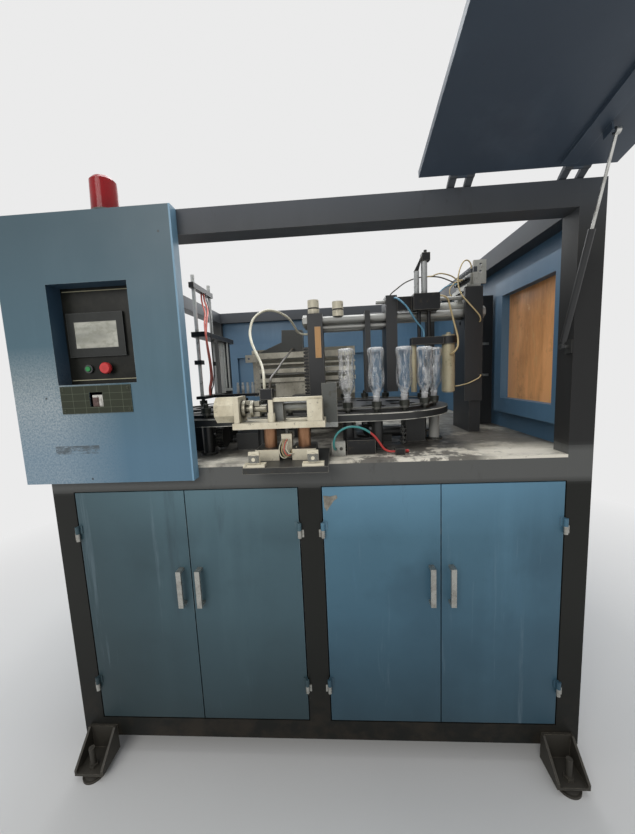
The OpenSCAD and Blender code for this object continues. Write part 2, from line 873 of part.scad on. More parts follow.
// Motor, toothed pulley and gear case on the deck inside the oval
module index_drive() {
    y = track_y - 187;
    z = z_deck + 56;
    translate([track_x2 - 95, y - 30, z_deck]) cube([75, 80, 99]);
    translate([track_x2 - 21, y, z]) rod_x(24, 33);
    translate([track_x2 + 10, y, z])
        difference() {
            rod_x(104, 30);
            for (k = [0:23])
                rotate([k * 15, 0, 0]) translate([-1, 0, 52]) rod_x(5, 32);
        }
    translate([track_x2 + 98, y - 45, z_deck]) cube([98, 90, 70]);
    translate([track_x2 + 75, y - 5, z_deck + 40]) rod_x(32, 24);
    translate([track_x + 136, y + 20, z_deck]) cube([80, 118, 104]);
    translate([track_x - 18, y + 50, z_deck + 42]) rod_x(44, 155);
    translate([track_x + 26, y + 28, z_deck]) cube([50, 44, 30]);
    // Adjusting screw with its nuts
    translate([track_x + 116, y - 18, z_deck]) {
        cylinder(d = 9, h = 74);
        for (k = [0, 1, 2, 3]) translate([0, 0, 4 + k * 18]) cylinder(d = 24, h = 7, $fn = 6);
    }
}

// Star wheel with a pocket for every stem in a full turn, hub and shaft
module star_wheel(x) {
    color("#2f3030")
        translate([x, track_y, z_wheel])
            difference() {
                union() {
                    cylinder(r = track_r - 4, h = wheel_t, $fn = 96);
                    translate([0, 0, -20]) cylinder(d = 90, h = 20);
                    translate([0, 0, z_deck + move_gap - z_wheel])
                        cylinder(d = wheel_shaft_d, h = z_wheel - z_deck);
                }
                for (k = [0:2 * turn_stations - 1])
                    rotate([0, 0, k * station_turn]) translate([track_r, 0, -1])
                        cylinder(r = stem_d / 2 + move_gap, h = wheel_t + 2);
                for (k = [0:5])
                    rotate([0, 0, k * 60 + 30]) translate([track_r * 0.55, 0, -1])
                        cylinder(d = 110, h = wheel_t + 2);
            }
}

// Chain link k joins station k to the next one; links lie in two layers by turns
module chain_links() {
    color("#5b5c5a")
        for (k = [0:station_count - 1]) {
            a = station(k);
            b = station((k + 1) % station_count);
            turn = atan2(b[1] - a[1], b[0] - a[0]);
            translate([a[0], a[1], z_link + (k % 2) * (link_t + link_gap)]) rotate([0, 0, turn])
                difference() {
                    union() {
                        cylinder(d = stem_d + 14, h = link_t);
                        translate([pitch, 0, 0]) cylinder(d = stem_d + 14, h = link_t);
                        translate([0, -11, 0]) cube([pitch, 22, link_t]);
                    }
                    for (x = [0, pitch])
                        translate([x, 0, -1]) cylinder(r = stem_d / 2 + run_fit, h = link_t + 2);
                }
        }
}

// Mandrel: stem through the links, head that carries the neck, plug inside the neck
module mandrels() {
    color("#33342f")
        for (k = [0:station_count - 1])
            translate([station(k)[0], station(k)[1], z_track]) {
                cylinder(d = stem_d, h = z_head - z_track);
                translate([0, 0, z_head - z_track]) cylinder(d = mandrel_d, h = mandrel_h);
                translate([0, 0, z_neck - z_track]) cylinder(d = 20, h = 16);
            }
}

bottle_stations = [27, 0, 1, 2, 3];
// Outer shape of a bottle, neck down: share of the height and of the radius
bottle_shape = [[0.15, 0.44], [0.22, 0.66], [0.29, 0.9], [0.33, 0.98], [0.36, 1], [0.375, 0.95],
    [0.39, 1], [0.42, 1], [0.435, 0.95], [0.45, 1], [0.48, 1], [0.495, 0.95], [0.51, 1], [0.55, 0.98],
    [0.66, 0.9], [0.76, 0.9], [0.86, 0.99], [0.9, 1], [0.96, 1], [0.99, 0.93]];

module bottle() {
    r = bottle_d / 2;
    body = [for (q = bottle_shape) [q[1] * r, q[0] * bottle_h]];
    inner = [for (i = [len(body) - 1:-1:0])
        [body[i][0] - bottle_wall, body[i][1] - (i > 17 ? bottle_wall : 0)]];
    rotate_extrude()
        polygon(concat(
            [[11, 0], [12.4, 0], [12.4, 17], [16, 17], [16, 20], [12.6, 20], [12.6, 24]],
            body, [[r * 0.7, bottle_h], [0, bottle_h - 4], [0, bottle_h - 4 - bottle_wall],
            [r * 0.7, bottle_h - bottle_wall - 0.6]], inner, [[11, 24]]));
}

module bottles() {
    color([0.85, 0.9, 0.9, 0.5])
        for (k = bottle_stations)
            translate([station(k)[0], station(k)[1], z_neck]) bottle();
}

tie_x0 = x_left_plate - 24;
tie_l = x_end_plate + end_plate_t + 48 - x_left_plate;

module bar_holes(x, l) {
    for (y = tie_y) {
        translate([x, y, z_tie]) rod_x(tie_d + 2 * run_fit, l);
        translate([x, y, z_guide]) rod_x(20 + 2 * run_fit, l);
    }
}

// Upright plates that stand on the deck and carry the bars
module clamp_plates() {
    color("#1f2021") {
        difference() {
            union() {
                translate([x_left_plate, clamp_y, z_plates])
                    cube([72, clamp_depth, z_deck + clamp_h_left - z_plates]);
                translate([x_left_plate - 88, clamp_y, z_plates - 24]) cube([160, clamp_depth, 24]);
                translate([x_left_plate - 88, clamp_y, z_deck])
                    cube([72, clamp_depth, z_plates - 24 - z_deck]);
                translate([x_mid_plate, clamp_y, z_plates])
                    cube([clamp_plate_t, clamp_depth, z_deck + clamp_h_mid - z_plates]);
                translate([x_end_plate, clamp_y, z_deck]) cube([end_plate_t, 220, clamp_h_end]);
                translate([x_end_plate - 28, clamp_y - 18, z_deck + 150])
                    cube([end_plate_t + 28, 18, clamp_h_end - 150]);
            }
            bar_holes(x_left_plate - 1, x_end_plate + 60 - x_left_plate);
            translate([x_mid_plate - 1, rod_y0, z_piston]) rod_x(16 + 2 * run_fit, 60);
            translate([x_mid_plate - 1, clamp_y + 22, z_top_rod]) rod_x(18, 60);
        }
        // Rear cable riser at the right wall
        translate([x_wall - 82, 700, z_deck])
            difference() {
                cube([68, 60, 664]);
                for (z = [254, 414]) translate([-1, -1, z]) cube([50, 8, 14]);
            }
    }
}

module clamp_platen() {
    color("#232425") {
        difference() {
            translate([x_platen, clamp_y, z_plates])
                cube([platen_t, clamp_depth, z_deck + 586 - z_plates]);
            bar_holes(x_platen - 1, platen_t + 2);
        }
        translate([x_platen + platen_t - 4, rod_y0, z_piston]) rod_x(16, 340);
    }
}

module tie_bars() {
    color("#b8bbb8") {
        for (y = tie_y) {
            translate([tie_x0, y, z_tie]) rod_x(tie_d, tie_l);
            for (x = [tie_x0 + 4, x_end_plate + end_plate_t])
                translate([x, y, z_tie]) rotate([0, 90, 0]) cylinder(d = tie_d + 20, h = 20, $fn = 6);
            translate([x_left_plate + 36, y, z_guide]) rod_x(20, x_mid_plate + 44 - x_left_plate - 36);
        }
        translate([x_platen + 53, clamp_y + 22, z_top_rod])
            rod_x(18, x_end_plate - x_platen - 53);
    }
}

// Air cylinder of the platen, two capped filters and the cover strip of the left plate
module clamp_cylinder() {
    color("#8f928f") {
        difference() {
            union() {
                translate([x_end_plate - 168, rod_y0, z_piston]) rod_x(clamp_cyl_d, 168);
                for (x = [x_end_plate - 172, x_end_plate - 40])
                    translate([x, rod_y0 - 30, z_piston + 10]) cube([22, 60, 32]);
            }
            translate([x_end_plate - 172, rod_y0, z_piston]) rod_x(16 + 2 * run_fit, 150);
        }
    }
    color("#d8d2bd") {
        translate([x_left_plate + 30, clamp_y + 40, z_deck + clamp_h_left]) {
            cylinder(d = 54, h = 24);
            translate([0, 0, 24]) cylinder(d = 50, h = 6);
            translate([0, 0, 30]) cylinder(d = 54, h = 36);
        }
        translate([x_left_plate + 146, tie_y[0], z_tie + tie_d / 2 - 3]) {
            difference() {
                cylinder(d = 52, h = 27);
                translate([-40, 0, -tie_d / 2 + 3]) rod_x(tie_d, 80);
            }
            translate([0, 0, 27]) cylinder(d = 48, h = 6);
            translate([0, 0, 33]) cylinder(d = 52, h = 34);
        }
        translate([x_left_plate + 34, clamp_y - 6, z_deck + 379]) cube([28, 6, 144]);
    }
    // Cable chain on the left plate
    color("#202122")
        for (k = [0:13])
            translate([x_left_plate - 24, clamp_y - 2, z_deck + 208 + k * 16]) {
                cube([24, 20, 11]);
                translate([6, 4, 11]) cube([18, 12, 5]);
            }
}

// Centre of the large blow cylinder
blow_x = stretch_x + 109;

// Vertical blow cylinders under the cross-piece
module guide_columns() {
    color("#cfc8ae") {
        translate([stretch_x - 48, stretch_y + 6, z_deck + 200]) cylinder(d = 26, h = 215);
        translate([blow_x, stretch_y + 6, z_deck + 198]) {
            cylinder(d = 58, h = 258);
            translate([0, 0, -5]) cylinder(d = 50, h = 5);
            translate([0, 0, 258]) cylinder(d = 20, h = 10);
        }
    }
}

// Stretch unit: block on the mid plate, cylinder, guide, hanging rods and cross-piece
module stretch_base() {
    back = stretch_y + 23;
    color("#202122")
        difference() {
            union() {
                translate([stretch_x - 56, back - 62, z_stretch]) cube([116, 62, 71]);
                translate([x_mid_plate + clamp_plate_t, back - 19, z_stretch + 9])
                    cube([stretch_x - 56 - x_mid_plate - clamp_plate_t, 19, 60]);
                translate([stretch_x - 63, back - 50, z_deck + 415]) cube([143, 48, 33]);
                translate([blow_x, stretch_y + 6, z_deck + 415]) cylinder(d = 80, h = 33);
                for (x = [-24, 20])
                    translate([stretch_x + x, stretch_y, z_deck + 440])
                        cylinder(d = 16, h = z_stretch - z_deck - 439);
            }
            translate([blow_x, stretch_y + 6, z_deck + 400]) cylinder(d = 58, h = 60);
            translate([stretch_x, stretch_y, z_stretch + 1]) cylinder(r = 8 + run_fit, h = 80);
        }
    color("#c4c6c4") {
        translate([stretch_x, stretch_y, z_stretch + 71])
            difference() {
                cylinder(d = stretch_d, h = 143);
                translate([0, 0, -1]) cylinder(r = 8 + run_fit, h = 150);
            }
        translate([stretch_x - 34, stretch_y, z_stretch + 71])
            difference() {
                cylinder(d = 23, h = 102);
                translate([0, 0, 4]) cylinder(r = 6 + run_fit, h = 150);
            }
    }
}

module stretch_head() {
    z0 = z_stretch + 71 + 143 + move_gap;
    color("#1f2021") {
        translate([stretch_x, stretch_y, z0]) {
            translate([-13, -17, 0]) cube([36, 34, 34]);
            translate([5, 0, 34]) cylinder(d = 14, h = 14);
            rotate([90, 0, 0]) translate([0, 0, -8]) linear_extrude(16)
                polygon([[-10, 30], [-12, 12], [-26, -41 + move_gap], [-46, -41 + move_gap]]);
            translate([-34, 0, -136]) cylinder(r = 6, h = 100);
        }
    }
    color("#c9cdd0")
        translate([stretch_x, stretch_y, z_stretch + 6]) cylinder(r = 8, h = z0 - z_stretch);
}

// Valve manifold on the end plate with its holed bracket, and the block at the deck's front
module valve_island() {
    z0 = z_deck + clamp_h_end;
    color("#8d8f8b") {
        translate([x_end_plate - 8, clamp_y + 20, z0]) cube([62, 200, 18]);
        translate([x_end_plate + 12, clamp_y + 32, z0 + 18]) cube([34, 188, 52]);
        difference() {
            translate([x_end_plate + 22, clamp_y + 20, z0 + 18]) cube([56, 12, 104]);
            for (z = [72, 102])
                translate([x_end_plate + 52, clamp_y + 19, z0 + z]) rod_y(12, 14);
        }
        for (k = [0:6])
            translate([x_end_plate + 12, clamp_y + 48 + k * 25, z0 + 50]) {
                rotate([0, -90, 0]) cylinder(d = 12, h = 20);
                translate([10, 0, 20]) cylinder(d = 12, h = 22);
            }
        difference() {
            translate([turn_x + 327, 66, z_deck]) cube([50, 40, 50]);
            for (x = [340, 362]) translate([turn_x + x, 65, z_deck + 28]) rod_y(13, 12);
        }
        // Valve block on the deck, and the junction block of the front cable
        translate([turn_x + 384, 84, z_deck]) cube([104, 50, 54]);
        translate([turn_x + 556, 56, z_deck]) cube([34, 32, 24]);
        translate([turn_x + 590, 72, z_deck + 11]) rod_x(14, 16);
    }
}

oven_x = track_x - 610;
oven_y = 716;
oven_back = oven_y + 120;

// Oven: rear reflector on legs, end plates, front bars, perforated bracket and dark hood
module oven_body() {
    color("#b9b5a2") {
        translate([oven_x, oven_back, z_deck]) cube([oven_l, 6, 456]);
        for (x = [oven_x, oven_x + oven_l - 6]) {
            translate([x, oven_back - 40, z_deck + 196]) cube([6, 40, 250]);
            translate([x, oven_y, z_deck + 410]) cube([6, 120, 36]);
        }
        for (b = [[398, 30], [364, 8], [319, 22], [270, 22]])
            translate([oven_x + 34, oven_y - 14, z_deck + b[0]]) cube([oven_l - 34, 14, b[1]]);
        translate([oven_x - 34, oven_y - 14, z_deck + 382])
            difference() {
                cube([68, 14, 40]);
                translate([18, -1, 20]) rod_y(12, 16);
            }
        difference() {
            translate([oven_x + 2, oven_y, z_deck + 196]) cube([38, 4, 246]);
            for (k = [0:8])
                translate([oven_x + 21, oven_y - 1, z_deck + 212 + k * 24]) rod_y(9, 6);
        }
        difference() {
            translate([oven_x + oven_l - 40, oven_y, z_deck + 196]) cube([34, 4, 246]);
            for (k = [0:8])
                translate([oven_x + oven_l - 24, oven_y - 1, z_deck + 212 + k * 24]) rod_y(9, 6);
        }
        translate([oven_x + 121, oven_y, z_deck + 188]) cube([170, 3, 100]);
    }
    color("#4c4d4a")
        translate([oven_x, oven_y + 62, z_deck + 428]) rotate([90, 0, 0]) linear_extrude(72)
            polygon([[172, 118], [283, 114], [283, 0], [35, 0], [168, 54]]);
}

module oven_lamps() {
    color("#d9d9d4")
        for (k = [0:lamp_count - 1])
            translate([oven_x + 6, oven_back - 24, z_deck + 222 + k * lamp_pitch]) {
                rod_x(18, 16);
                rod_x(lamp_d, oven_l - 12);
                translate([oven_l - 28, 0, 0]) rod_x(18, 16);
            }
}

module lift_frame() {
    z0 = z_deck + 499;
    color("#232425")
        difference() {
            union() {
                translate([lift_x - 20, lift_y[0] - 22, z0]) cube([70, 430, 24]);
                translate([lift_x - 20, 836, z_deck]) cube([44, 28, z0 - z_deck]);
            }
            for (y = lift_y)
                translate([lift_x, y, z0 - 1]) cylinder(r = lift_rod_d / 2 + run_fit, h = 30);
        }
    color("#a7a9a6") {
        translate([lift_x + 20, 706, z0 - 275]) cylinder(d = 26, h = 275);
        for (x = [lift_x + 26, lift_x + 44])
            translate([x, 750, z0 - 256]) cylinder(d = 9, h = 256);
        translate([lift_x + 10, 736, z0 - 266]) cube([44, 28, 14]);
    }
}

module lift_carriage() {
    color("#c4c6c4")
        for (y = lift_y)
            translate([lift_x, y, z_deck + 222]) cylinder(d = lift_rod_d, h = 560);
    color("#232425") {
        difference() {
            union() {
                translate([lift_x - 12, lift_y[0] - 24, z_lift_head])
                    cube([24, lift_y[1] - lift_y[0] + 48, 24]);
                translate([lift_x - 18, lift_y[0] - 16, z_deck + 372]) cube([36, 32, 20]);
                translate([lift_x - 22, lift_y[0] - 20, z_deck + 208])
                    cube([44, lift_y[1] - lift_y[0] + 40, 14 + eps]);
                translate([lift_x + 22 - eps, 546, z_deck + 208]) cube([226, 28, 14]);
            }
        }
    }
    color("#d9d9d4")
        for (k = [0:3])
            translate([lift_x + 146 + k * 25, 560, z_deck + 222]) {
                cylinder(d = 14, h = 40);
                translate([0, 0, 40]) cylinder(d = 10, h = 16);
            }
}

// Overhanging base plate of the turnover unit, guide blocks, lift cylinder and edge clamps
module turnover_base() {
    color("#33342f") {
        translate([turn_x + 49, base_y, z_deck]) cube([270, 262, 20]);
        for (x = [bush_x[0] - 44, bush_x[1] - 38])
            translate([x, -52, z_deck + 20])
                difference() {
                    cube([80, 120, 38]);
                    translate([bush_x[x > bush_x[0] ? 1 : 0] - x, turn_y + 52, -1])
                        cylinder(d = bush_d, h = 40);
                }
    }
    color("#c9c2a8")
        translate([turn_x + 157, turn_y - 18, z_deck + 20])
            difference() {
                cube([36, 36, 84]);
                translate([18, 18, 2]) cylinder(r = 6 + run_fit, h = 90);
            }
    color("#d8d2bd")
        for (x = [turn_x + 86, turn_x + 272]) {
            translate([x - 34, base_y + 2, z_deck + 20]) cube([68, 34, 9]);
            translate([x - 17, base_y + 8, z_deck + 20]) cube([34, 14, 48]);
            translate([x, base_y + 5, z_deck + 46]) rod_y(30, 4);
            translate([x, base_y + 3, z_deck + 46]) rotate([-90, 0, 0]) cylinder(d = 22, h = 6, $fn = 6);
            translate([x, base_y + 1, z_deck + 46]) rod_y(12, 8);
        }
}

module guide_bushes() {
    color("#a9815c")
        for (x = bush_x)
            translate([x, turn_y, z_deck + 20])
                difference() {
                    cylinder(d = bush_d, h = z_turn_plate - z_deck - 20 - move_gap);
                    translate([0, 0, -1]) cylinder(r = guide_d / 2 + run_fit, h = 140);
                }
}

// Plate that rises on its guides, with the bearing plate, gear case and clamp cylinder on top
module turnover_plate() {
    zt = z_turn_plate + turn_plate_t;
    color("#d8d2bd") {
        translate([turn_x, base_y + 90, z_turn_plate]) cube([turn_plate_w - 16, 112, turn_plate_t]);
        difference() {
            translate([turn_x + 7, base_y + 92, zt]) cube([17, 100, 88]);
            translate([turn_x + 6, turn_y, z_turn]) rod_x(turn_d + 2 * run_fit, 20);
        }
        difference() {
            translate([turn_x - 63, turn_y, z_turn]) rotate([0, 90, 0]) rotate([0, 0, 22.5])
                cylinder(d = 94, h = 70, $fn = 8);
            translate([turn_x - 50, turn_y, z_turn]) rod_x(turn_d + 2 * run_fit, 60);
        }
        for (z = [-30, 26])
            translate([turn_x - 66, turn_y - 26, z_turn + z]) cube([8, 52, 6]);
        // Right bracket, strips over the cylinder and capped guide
        translate([turn_x + 253, base_y + 92, zt]) cube([50, 84, 72]);
        translate([turn_x + 135, base_y + 100, zt + 68]) cube([168, 40, 12]);
        translate([turn_x + 131, base_y + 106, zt]) cylinder(d = 26, h = 31);
    }
    color("#a7aaa8") {
        translate([turn_x + 143, turn_y + 6, z_turn + 4]) rod_x(30, 112);
        translate([turn_x + 139, turn_y - 24, zt]) cube([30, 62, 68]);
    }
    color("#202122") translate([turn_x + 99, base_y + 94, zt + 76]) cube([40, 36, 36]);
    color("#202122") translate([turn_x + 124, base_y + 94, zt + 20]) cube([15, 34, 60]);
    color("#5e605d") translate([turn_x + 307 - 8, base_y + 202, z_turn_plate - 18]) cube([54, 10, 160]);
    color("#9aa0a0") {
        for (x = bush_x)
            translate([x, turn_y, z_turn_plate - 98]) cylinder(d = guide_d, h = 98 + eps);
        translate([turn_x + 175, turn_y, z_turn_plate - 90]) cylinder(r = 6, h = 90 + eps);
    }
}

// Turnover shaft with its two gripper jaws
module turn_shaft() {
    color("#b9b5a2")
        translate([turn_x - 48, turn_y, z_turn]) {
            rod_x(turn_d, 158);
            translate([76, 0, 0]) rod_x(60, 10);
            translate([104, 0, 0])
                difference() {
                    rod_x(58, 10);
                    for (a = [45, 135, 225, 315])
                        rotate([a, 0, 0]) translate([-1, 0, 20]) rod_x(7, 12);
                }
            for (a = [0, 180])
                rotate([a, 0, 0]) translate([86, -11, 15]) cube([18, 22, 14]);
            translate([114, -12, -26]) cube([20, 24, 16]);
            translate([114, -12, 10]) cube([20, 24, 16]);
        }
}

// Tube along a smooth route through the points p: rings of n corners, s rings to a point
function spline(p, i, t) =
    let(a = p[max(i - 1, 0)], b = p[i], c = p[i + 1], d = p[min(i + 2, len(p) - 1)])
    0.5 * ((2 * b) + (c - a) * t + (2 * a - 5 * b + 4 * c - d) * t * t
        + (3 * b - a - 3 * c + d) * t * t * t);
function route(p, s) = [for (i = [0:len(p) - 2], k = [0:s - 1]) spline(p, i, k / s), p[len(p) - 1]];
function unit(v) = v / norm(v);
function swept(c, i) = unit(c[min(i + 1, len(c) - 1)] - c[max(i - 1, 0)]);
function side(v) = unit(cross(v, abs(v[0]) < 0.9 ? [1, 0, 0] : [0, 1, 0]));

module hose(p, d, s) {
    n = 8;
    c = route(p, s);
    m = len(c);
    frames = [for (i = [0:m - 1]) let(v = swept(c, i), a = side(v)) [a, cross(v, a)]];
    pts = [for (i = [0:m - 1], k = [0:n - 1])
        c[i] + d / 2 * (cos(k * 360 / n) * frames[i][0] + sin(k * 360 / n) * frames[i][1])];
    faces = concat(
        [[for (k = [0:n - 1]) k]],
        [[for (k = [n - 1:-1:0]) (m - 1) * n + k]],
        [for (i = [0:m - 2], k = [0:n - 1])
            [i * n + k, (i + 1) * n + k, (i + 1) * n + (k + 1) % n, i * n + (k + 1) % n]]);
    polyhedron(pts, faces, convexity = 6);
}

module white_hose() { color("#cfc9b8") hose(white_route, 10, 2); }
module grey_hose() { color("#6d675c") hose(grey_route, 9, 2); }
module red_hose() { color("#c4574a") hose(red_route, 9, 2); }
module cream_hose() { color("#cdb98c") hose(cream_route, 8, 2); }
module blue_hose() { color("#5b8aa8") hose(blue_route, 8, 2); }
module front_cable() { color("#3f8583") hose(front_route, 8, 2); }

place() frame_posts();
place() frame_rails();
place() deck_plate();
place() door(0);  // door_1
place() door(1);  // door_2
place() door(2);  // door_3
place() door(3);  // door_4
place() door_handle(0);  // door_handle_1
place() door_handle(1);  // door_handle_2
place() door_handle(2);  // door_handle_3
place() door_handle(3);  // door_handle_4
place() hinge_pins();
place() foot_brackets();
place() levelling_feet();
place() control_cover();
place() enclosure();
place() panel_plate();
place() screen_bezel();
place() screen();
place() button_collars();
place() start_button();
place() stop_button();
place() smoked_cover();
place() beacon_base();
place() beacon_lens();
place() window_frame();
place() window_pane();
place() {
    base_panels();
    wall_panels();
}
place() {
    hatch_panel();
    hatch_stiffener();
}
place() hatch_hardware();
place() strut_rod();
place() strut_cylinder();
place() track();
place() star_wheel(track_x);  // star_wheel_right
place() star_wheel(track_x2);  // star_wheel_left
place() chain_links();
place() mandrels();
place() bottles();
place() clamp_plates();
place() clamp_platen();
place() tie_bars();
place() clamp_cylinder();
place() guide_columns();
place() stretch_base();
place() stretch_head();
place() valve_island();
place() oven_body();
place() oven_lamps();
place() lift_frame();
place() lift_carriage();
place() turnover_base();
place() guide_bushes();
place() turnover_plate();
place() turn_shaft();
place() white_hose();
place() grey_hose();
place() red_hose();
place() cream_hose();
place() blue_hose();
place() front_cable();
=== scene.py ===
import math

import bmesh
import bpy
from mathutils import Matrix, Vector


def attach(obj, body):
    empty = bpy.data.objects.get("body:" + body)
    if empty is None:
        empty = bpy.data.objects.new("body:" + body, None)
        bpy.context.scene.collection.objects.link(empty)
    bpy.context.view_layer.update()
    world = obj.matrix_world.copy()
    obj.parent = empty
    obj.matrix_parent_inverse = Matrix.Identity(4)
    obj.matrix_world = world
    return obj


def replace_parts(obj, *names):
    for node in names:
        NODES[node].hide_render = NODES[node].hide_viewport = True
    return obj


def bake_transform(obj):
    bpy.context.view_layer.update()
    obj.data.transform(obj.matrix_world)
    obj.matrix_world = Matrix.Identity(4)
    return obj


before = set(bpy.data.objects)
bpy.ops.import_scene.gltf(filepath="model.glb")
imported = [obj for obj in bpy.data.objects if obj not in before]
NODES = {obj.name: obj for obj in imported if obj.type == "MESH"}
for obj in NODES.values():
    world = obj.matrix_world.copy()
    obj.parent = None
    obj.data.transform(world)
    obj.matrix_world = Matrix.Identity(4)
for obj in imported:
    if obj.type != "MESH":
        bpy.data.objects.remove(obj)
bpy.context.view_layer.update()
scene = bpy.context.scene

# Lengths here are machine millimetres: X from the left face, Y from the front face, Z from the floor
FOOT_IN = 78
FOOT_OUT = 75
Z_DECK = 1184
DOORS = (1, 2, 3, 4)
# Chain track: radius of its round ends, centre of the right one, top and thickness of its plate
TRACK_R = 290
TRACK_X = 1214
TRACK_Y = 467
Z_TRACK = 1331
TRACK_T = 30
# Mandrels: number on the chain, pockets of a star wheel, and where a bottle's lip stands
MANDRELS = 28
POCKETS = 16
Z_NECK = 1372.1


def P(x, y, z):
    """Point of the row frame in metres."""
    return Vector(((x - FOOT_IN) / 1000, (y + FOOT_OUT) / 1000, z / 1000))


# Camera, fitted to the frame's edges in the 635 x 834 photograph
F_PX = 343.70
CX = 317.0
CY = 417.0
W = 635
H = 834
SENSOR = 36.0
EYE = P(1063.1, -1168.5, 1484)
yaw, pitch, roll = (math.radians(a) for a in (3.575, 6.994, -2.548))
fwd = Vector((-math.sin(yaw) * math.cos(pitch), math.cos(yaw) * math.cos(pitch), -math.sin(pitch)))
right = fwd.cross(Vector((0, 0, 1))).normalized()
up = right.cross(fwd)
cam_data = bpy.data.cameras.new("camera")
cam_data.sensor_fit = "VERTICAL"
cam_data.sensor_height = SENSOR
cam_data.lens = F_PX * SENSOR / H
cam_data.shift_x = (W / 2 - CX) / H
cam_data.shift_y = (CY - H / 2) / H
cam_data.clip_start = 0.02
cam_data.clip_end = 60
cam = bpy.data.objects.new("camera", cam_data)
scene.collection.objects.link(cam)
axes = (math.cos(roll) * right + math.sin(roll) * up, -math.sin(roll) * right + math.cos(roll) * up, -fwd)
turned = Matrix(axes).transposed().to_4x4()
turned.translation = EYE
cam.matrix_world = turned
scene.camera = cam


# Materials; N leaves a side of a box open, and OPEN leaves all sides at one corner open
N = None
OPEN = (N, N, N)


def lin(c):
    """Linear colour with alpha from red, green and blue of 0 to 255."""
    return tuple(((v / 255) / 12.92 if v <= 10 else ((v / 255 + 0.055) / 1.055) ** 2.4) for v in c) + (1.0,)


